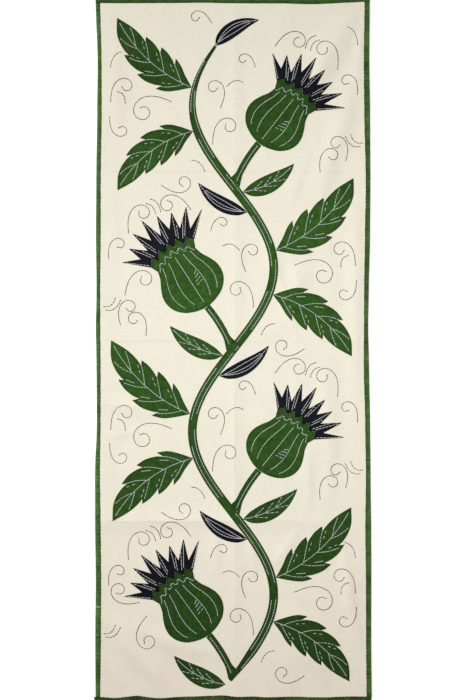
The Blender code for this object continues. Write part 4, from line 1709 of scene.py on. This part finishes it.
    def patch_lines(self) -> list[Run]:
        """All the pale lines on the patches.

        Returns:
            The lines to stitch.
        """
        runs = self.stem_lines()
        for bend, row in enumerate(self.bends):
            for growth in (self.upper_leaf, self.lower_leaf):
                line = self.growth_line(growth, bend, row.leaves)
                runs += self.toothed_leaf_veins(line, growth.width * row.leaves)
            line = self.growth_line(self.plain_leaf, bend, row.leaves)
            runs += self.leaf_lines(line, self.plain_leaf.width, self.plain_veins)
            if bend < len(self.bends) - 1:
                line = self.growth_line(self.dark_leaf, bend, row.leaves)
                runs += self.leaf_lines(line, self.dark_leaf.width, self.dark_veins)
            branch = self.growth_line(self.branch, bend)
            first, last, aside, count = self.branch_line
            runs.append(self.along(branch, first, last, (aside, aside), count=count))
            place = self.bulb_place(bend)
            runs += self.bulb_lines(place) + self.crown_lines(place)
        tip, root = self.tip_leaf, self.beside_stem(self.head + self.gap, 0.0)
        line = self.turning(root, self.stem_heading(self.head), tip.length, math.radians(tip.turn))
        return runs + self.leaf_lines(line, tip.width, self.dark_veins)

    def tendril(self, row: Tendril, bend: int) -> Run:
        """One curl at a bend.

        Args:
            row: The curl.
            bend: The bend's number, from the foot.

        Returns:
            Its points.
        """
        hand, height, heading = self.at_bend(bend, row.heading)
        points = [(hand * row.x, height + row.y)]
        for share in ((i + 0.5) / self.curl_steps for i in range(self.curl_steps)):
            now = heading + hand * (math.radians(row.bend) * share + row.coil * share ** self.curl_power)
            step = row.length / self.curl_steps
            points.append((points[-1][0] + step * math.cos(now), points[-1][1] + step * math.sin(now)))
        return points


@dataclass(frozen=True)
class Stitch:
    """A kind of stitch: spacing, length, width and height of its thread, slant, wobble and seed."""

    pitch: float
    length: float
    width: float
    height: float
    slant: float
    wobble: float
    seed: int


BACKSTITCH = (5.6 * MM, 6.1 * MM)
HEM = (1.7 * MM, 0.42 * MM, 0.42 * MM, 1.15, 0.22)
PALE_BACKSTITCH = Stitch(*BACKSTITCH, 1.20 * MM, 0.62 * MM, 0.0, 0.07, 11)
GREY_BACKSTITCH = Stitch(*BACKSTITCH, 1.42 * MM, 0.58 * MM, 0.0, 0.07, 23)
PATCH_HEM = Stitch(5.0 * MM, *HEM, 31)
BINDING_HEM = Stitch(6.7 * MM, *HEM, 41)
BAR_TACK = Stitch(3.2 * MM, 3.0 * MM, 0.8 * MM, 0.42 * MM, 0.0, 0.22, 5)


@dataclass
class StitchMaker:
    """Rows of stitches along lines, made by a node tree with named inputs."""

    sides: int = 5
    rings: tuple[Triple, ...] = (
        (-0.50, 0.62, -0.45), (-0.34, 0.94, 0.08), (0.0, 1.0, 0.22), (0.34, 0.94, 0.08), (0.50, 0.62, -0.45),
    )
    tree: bpy.types.NodeTree = field(init=False)
    grain: Piece = field(init=False)

    def __post_init__(self) -> None:
        """Build the stitch's own shape and the tree once."""
        self.grain = self.stitch_shape()
        self.tree = self.build_tree()

    def stitch_shape(self) -> Piece:
        """One stitch of length, width and height 1, whose ends dip into the cloth.

        Returns:
            The object that the tree repeats.
        """
        sides = self.sides
        points, places, faces = [], [], []
        for x, size, lift in self.rings:
            for k in range(sides):
                angle = 2 * math.pi * (k + 0.5) / sides
                points.append((x, 0.5 * size * math.cos(angle), lift + 0.5 * size * math.sin(angle)))
                places.append((x + 0.5, k / sides))
        for first in range(0, len(points) - sides, sides):
            for k in range(sides):
                here, beside = first + k, first + (k + 1) % sides
                faces.append((here, beside, beside + sides, here + sides))
        faces.append(tuple(range(sides))[::-1])
        faces.append(tuple(range(len(points) - sides, len(points))))
        mesh = new_mesh("stitch_shape", np.array(points), faces)
        layer = mesh.uv_layers.new(name="thread")
        for loop in mesh.loops:
            layer.data[loop.index].uv = places[loop.vertex_index]
        face_outwards(mesh)
        return bpy.data.objects.new("stitch_shape", mesh)

    @staticmethod
    def build_tree() -> bpy.types.NodeTree:
        """The tree: lines to evenly spaced stitches.

        Returns:
            The node group.
        """
        tree = bpy.data.node_groups.new("stitch_rows", "GeometryNodeTree")
        sockets = {
            "Geometry": ("Lines",), "Object": ("Stitch",), "Material": ("Thread",),
            "Float": ("Pitch", "Stitch length", "Thread width", "Thread height", "Slant", "Wobble"),
            "Int": ("Seed",),
        }
        for kind, names in sockets.items():
            for name in names:
                tree.interface.new_socket(name, in_out="INPUT", socket_type=f"NodeSocket{kind}")
        tree.interface.new_socket("Stitches", in_out="OUTPUT", socket_type="NodeSocketGeometry")
        desk = Desk(tree)
        given = desk.node("NodeGroupInput").outputs

        def random(low: float, high: float, extra: int) -> Socket:
            """A random number for each stitch.

            Args:
                low: The least.
                high: The greatest.
                extra: What the seed is raised by.

            Returns:
                The number's socket.
            """
            values = {2: low, 3: high, "Seed": desk.maths("ADD", given["Seed"], extra)}
            return desk.node("FunctionNodeRandomValue", {"data_type": "FLOAT"}, values).outputs[1]

        curve = desk.node("GeometryNodeMeshToCurve", None, {0: given["Lines"]}).outputs[0]
        spacing = {"Curve": curve, "Length": given["Pitch"]}
        spaced = desk.node("GeometryNodeResampleCurve", {"mode": "LENGTH"}, spacing).outputs[0]
        tangent = desk.node("GeometryNodeInputTangent").outputs[0]
        axes = {"primary_axis": "X", "secondary_axis": "Z"}
        facing = desk.node("FunctionNodeAxesToRotation", axes, {0: tangent, 1: desk.vector(Z=1.0)}).outputs[0]
        wobble = desk.maths("MULTIPLY_ADD", random(-1.0, 1.0, 1), given["Wobble"], given["Slant"])
        turn = desk.node("FunctionNodeEulerToRotation", None, {0: desk.vector(Z=wobble)}).outputs[0]
        local = {"rotation_space": "LOCAL"}
        turned = desk.node("FunctionNodeRotateRotation", local, {0: facing, 1: turn}).outputs[0]
        sizes = {
            "X": ("Stitch length", 0.86, 1.08, 2), "Y": ("Thread width", 0.84, 1.14, 3),
            "Z": ("Thread height", 0.88, 1.12, 4),
        }
        size = desk.vector(**{
            axis: desk.maths("MULTIPLY", given[name], random(*span)) for axis, (name, *span) in sizes.items()
        })
        shape = desk.node("GeometryNodeObjectInfo", None, {"Object": given["Stitch"]}).outputs["Geometry"]
        placing = {"Points": spaced, "Instance": shape, "Rotation": turned, "Scale": size}
        placed = desk.node("GeometryNodeInstanceOnPoints", None, placing).outputs[0]
        whole = desk.node("GeometryNodeRealizeInstances", None, {0: placed}).outputs[0]
        dressed = desk.node("GeometryNodeSetMaterial", None, {"Geometry": whole, "Material": given["Thread"]})
        desk.node("NodeGroupOutput", None, {0: dressed.outputs[0]})
        return tree

    def sew(self, name: str, lines: Iterable[Sequence[Vector]], thread: Material,
            stitch: Stitch, closed: bool = False) -> Piece:
        """Stitch along some lines.

        Args:
            name: The piece's name.
            lines: The lines, in place on the cloth.
            thread: The thread's material.
            stitch: The kind of stitch.
            closed: Whether each line ends where it starts.

        Returns:
            The piece, a plain mesh.
        """
        points, edges = [], []
        for line in lines:
            first = len(points)
            points += [tuple(p) for p in line]
            edges += [(i, i + 1) for i in range(first, len(points) - 1)]
            if closed:
                edges.append((len(points) - 1, first))
        mesh = bpy.data.meshes.new(f"{name}_lines")
        mesh.from_pydata(points, edges, [])
        host = linked(f"{name}_lines", mesh)
        rows = host.modifiers.new("stitches", "NODES")
        rows.node_group = self.tree
        filled = {
            "Stitch": self.grain, "Thread": thread, "Pitch": stitch.pitch, "Stitch length": stitch.length,
            "Thread width": stitch.width, "Thread height": stitch.height, "Slant": stitch.slant,
            "Wobble": stitch.wobble, "Seed": stitch.seed,
        }
        for item in self.tree.interface.items_tree:
            if item.name in filled:
                rows[item.identifier] = filled[item.name]
        depsgraph = bpy.context.evaluated_depsgraph_get()
        made = bpy.data.meshes.new_from_object(host.evaluated_get(depsgraph), depsgraph=depsgraph)
        made.name = name
        host.modifiers.remove(rows)
        bpy.data.objects.remove(host)
        bpy.data.meshes.remove(mesh)
        return new_piece(name, made, thread)


@dataclass
class Needlework:
    """What is sewn with thread: lines on the patches, curls on the ground, and all the hems."""

    lie: Lie
    patches: list[Patch]
    border: Border
    maker: StitchMaker = field(default_factory=StitchMaker)
    vine: Vine = field(default_factory=Vine)
    on_patch: float = 0.84 * MM
    on_ground: float = 0.16 * MM
    on_hem: float = 0.32 * MM
    hem_beside: float = 0.1 * MM
    clear: float = 3.5 * MM
    curls_apart: float = 1.5 * MM
    near_patch: float = 10 * MM
    nick: Pair = (-0.2455, -0.467)
    tack_reach: Pair = (-3.0 * MM, 3.6 * MM)
    tack_step: float = 0.9 * MM
    tack_height: float = 1.05 * MM
    tack_over: float = 6 * MM
    hem_ends: int = 6
    hem_skip: int = 2

    def on_cloth(self, x: Sequence[float], y: Sequence[float], above: float) -> list[Vector]:
        """A flat line laid on the cloth."""
        return [Vector(p) for p in zip(x, y, self.lie.face(x, y) + above)]

    def curls(self) -> list[np.ndarray]:
        """The curls that lie clear of the patches, the binding and each other.

        Returns:
            Their lines.
        """
        kept: list[np.ndarray] = []
        for bend in range(len(self.vine.bends)):
            for row in TENDRILS:
                line = np.array(self.vine.tendril(row, bend))
                if self.border.clear_of(line) < self.clear:
                    continue
                if any(self.touches(patch, line) for patch in self.patches):
                    continue
                gaps = [np.linalg.norm(line[:, None] - other[None], axis=2).min() for other in kept]
                if not gaps or min(gaps) > self.curls_apart:
                    kept.append(line)
        log.info("curls kept: %d", len(kept))
        return kept

    def touches(self, patch: Patch, line: np.ndarray) -> bool:
        """Whether a line runs onto a patch or too close to it.

        Args:
            patch: The patch.
            line: The line's points.

        Returns:
            True where it does.
        """
        points = patch.outline.points
        low, high = points.min(0) - self.near_patch, points.max(0) + self.near_patch
        near = line[((line > low) & (line < high)).all(1)]
        if not len(near):
            return False
        distance, _, inside = patch.outline.nearest(near)
        return bool(inside.any() or distance.min() < self.clear)

    def binding_lines(self) -> list[list[Vector]]:
        """Lines along the inner edges of the four strips.

        Returns:
            The lines, on the cloth.
        """
        lines = []
        for side in Side:
            along, outward = side.value
            places = self.border.stations(side)[self.hem_ends:-self.hem_ends:self.hem_skip]
            beside = self.border.inner(side, places) - self.hem_beside * outward
            spot = (beside, places) if along == 1 else (places, beside)
            lines.append(self.on_cloth(*spot, self.on_hem))
        return lines

    def tack(self) -> list[list[Vector]]:
        """The two stitches of the bar tack over the left strip.

        Returns:
            Their lines.
        """
        x, y = self.nick
        height = float(self.lie.face(x + self.tack_over, y)) + self.tack_height
        rows = (y, y + self.tack_step)
        return [[Vector((x + off, row, height)) for off in self.tack_reach] for row in rows]

    def build(self) -> list[Piece]:
        """Sew all of it.

        Returns:
            The pieces.
        """
        sew = self.maker.sew
        pale = [self.on_cloth(*zip(*run), self.on_patch) for run in self.vine.patch_lines()]
        grey = [self.on_cloth(*line.T, self.on_ground) for line in self.curls()]
        pieces = [
            sew("pale_backstitch", pale, PALE_THREAD.material(), PALE_BACKSTITCH),
            sew("grey_backstitch", grey, GREY_THREAD.material(), GREY_BACKSTITCH),
        ]
        green, navy = GREEN_THREAD.material(), NAVY_THREAD.material()
        for finish, thread, name in ((Finish.GREEN, green, "green"), (Finish.NAVY, navy, "navy")):
            lines = [patch.hem() for patch in self.patches if patch.finish is finish]
            pieces.append(sew(f"{name}_hem_stitches", lines, thread, PATCH_HEM, closed=True))
        pieces.append(sew("binding_hem_stitches", self.binding_lines(), green, BINDING_HEM))
        pieces.append(sew("bar_tack", self.tack(), PALE_THREAD.material(), BAR_TACK))
        return pieces


@dataclass
class Studio:
    """Camera, lights and floor of a flat photograph from straight above."""

    picture: tuple[int, int] = (466, 700)
    metres_a_pixel: float = 1.818 * MM
    distance: float = 3.0
    key_light: Triple = (-4.2, 4.2, 4.2)
    key_size: Pair = (1.9, 1.9)
    key_power: float = 248.0
    overhead_light: Triple = (0.0, 0.0, 1.3)
    overhead_size: Pair = (1.1, 0.7)
    overhead_power: float = 12.5
    world_light: float = 0.16
    floor_colour: Colour = (255, 255, 255)
    floor_glow: float = 0.32
    floor_finish: Pair = (0.9, 0.1)
    floor_reach: float = 4.0
    floor_drop: float = 0.1 * MM

    def build(self) -> None:
        """Set up the view and the light."""
        self.camera()
        self.light("key_light", self.key_light, self.key_size, self.key_power)
        self.light("overhead_light", self.overhead_light, self.overhead_size, self.overhead_power)
        self.world()
        self.floor()
        bpy.context.scene.view_settings.view_transform = "Standard"

    def camera(self) -> None:
        """Stand the camera over the panel's middle."""
        data = bpy.data.cameras.new("camera")
        data.lens = data.sensor_width * self.distance / (max(self.picture) * self.metres_a_pixel)
        camera = linked("camera", data)
        camera.location = (0.0, 0.0, self.distance)
        bpy.context.scene.camera = camera

    def light(self, name: str, place: Triple, size: Pair, power: float) -> None:
        """Hang a soft light that points at the panel.

        Args:
            name: Its name.
            place: Where it hangs.
            size: Its sides.
            power: Its power in watts.
        """
        data = bpy.data.lights.new(name, "AREA")
        data.shape, data.energy = "RECTANGLE", power
        data.size, data.size_y = size
        lamp = linked(name, data)
        lamp.location = place
        lamp.rotation_euler = (-Vector(place)).to_track_quat("-Z", "Y").to_euler()

    def world(self) -> None:
        """Even light from all round."""
        world = bpy.data.worlds.new("studio")
        world.use_nodes = True
        back = world.node_tree.nodes["Background"]
        back.inputs["Color"].default_value = WHITE
        back.inputs["Strength"].default_value = self.world_light
        bpy.context.scene.world = world

    def floor(self) -> None:
        """A plain pale floor."""
        reach = self.floor_reach
        corners = [(x * reach, y * reach, -self.floor_drop) for x, y in ((-1, -1), (1, -1), (1, 1), (-1, 1))]
        mesh = new_mesh("floor", np.array(corners), [(0, 1, 2, 3)])
        material, _, shader = new_material("floor", *self.floor_finish)
        shader.inputs["Base Color"].default_value = linear(self.floor_colour)
        shader.inputs["Emission Color"].default_value = WHITE
        shader.inputs["Emission Strength"].default_value = self.floor_glow
        mesh.materials.append(material)
        linked("floor", mesh)


def main() -> None:
    """Dress the whole panel."""
    logging.basicConfig(level=logging.INFO, format="%(message)s")
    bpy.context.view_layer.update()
    Studio().build()
    for cloth in CLOTHS:
        materials[cloth.finish] = cloth.material()
    lie, border = Lie(), Border()
    ground = GroundCloth(lie, border)
    sheet = ground.build()
    strips = [BindingStrip(side, lie, border) for side in Side]
    strip_pieces = [strip.build() for strip in strips]
    names = [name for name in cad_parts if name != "ground_cloth" and not name.startswith("binding")]
    patches = [Patch(name, lie) for name in sorted(names)]
    patch_pieces = [patch.build() for patch in patches]
    stitches = Needlework(lie, patches, border).build()
    for patch, piece in zip(patches, patch_pieces):
        width, length = patch.outline.cut()
        area = min(patch.outline.area(), width * length)


if __name__ == "__main__":
    main()
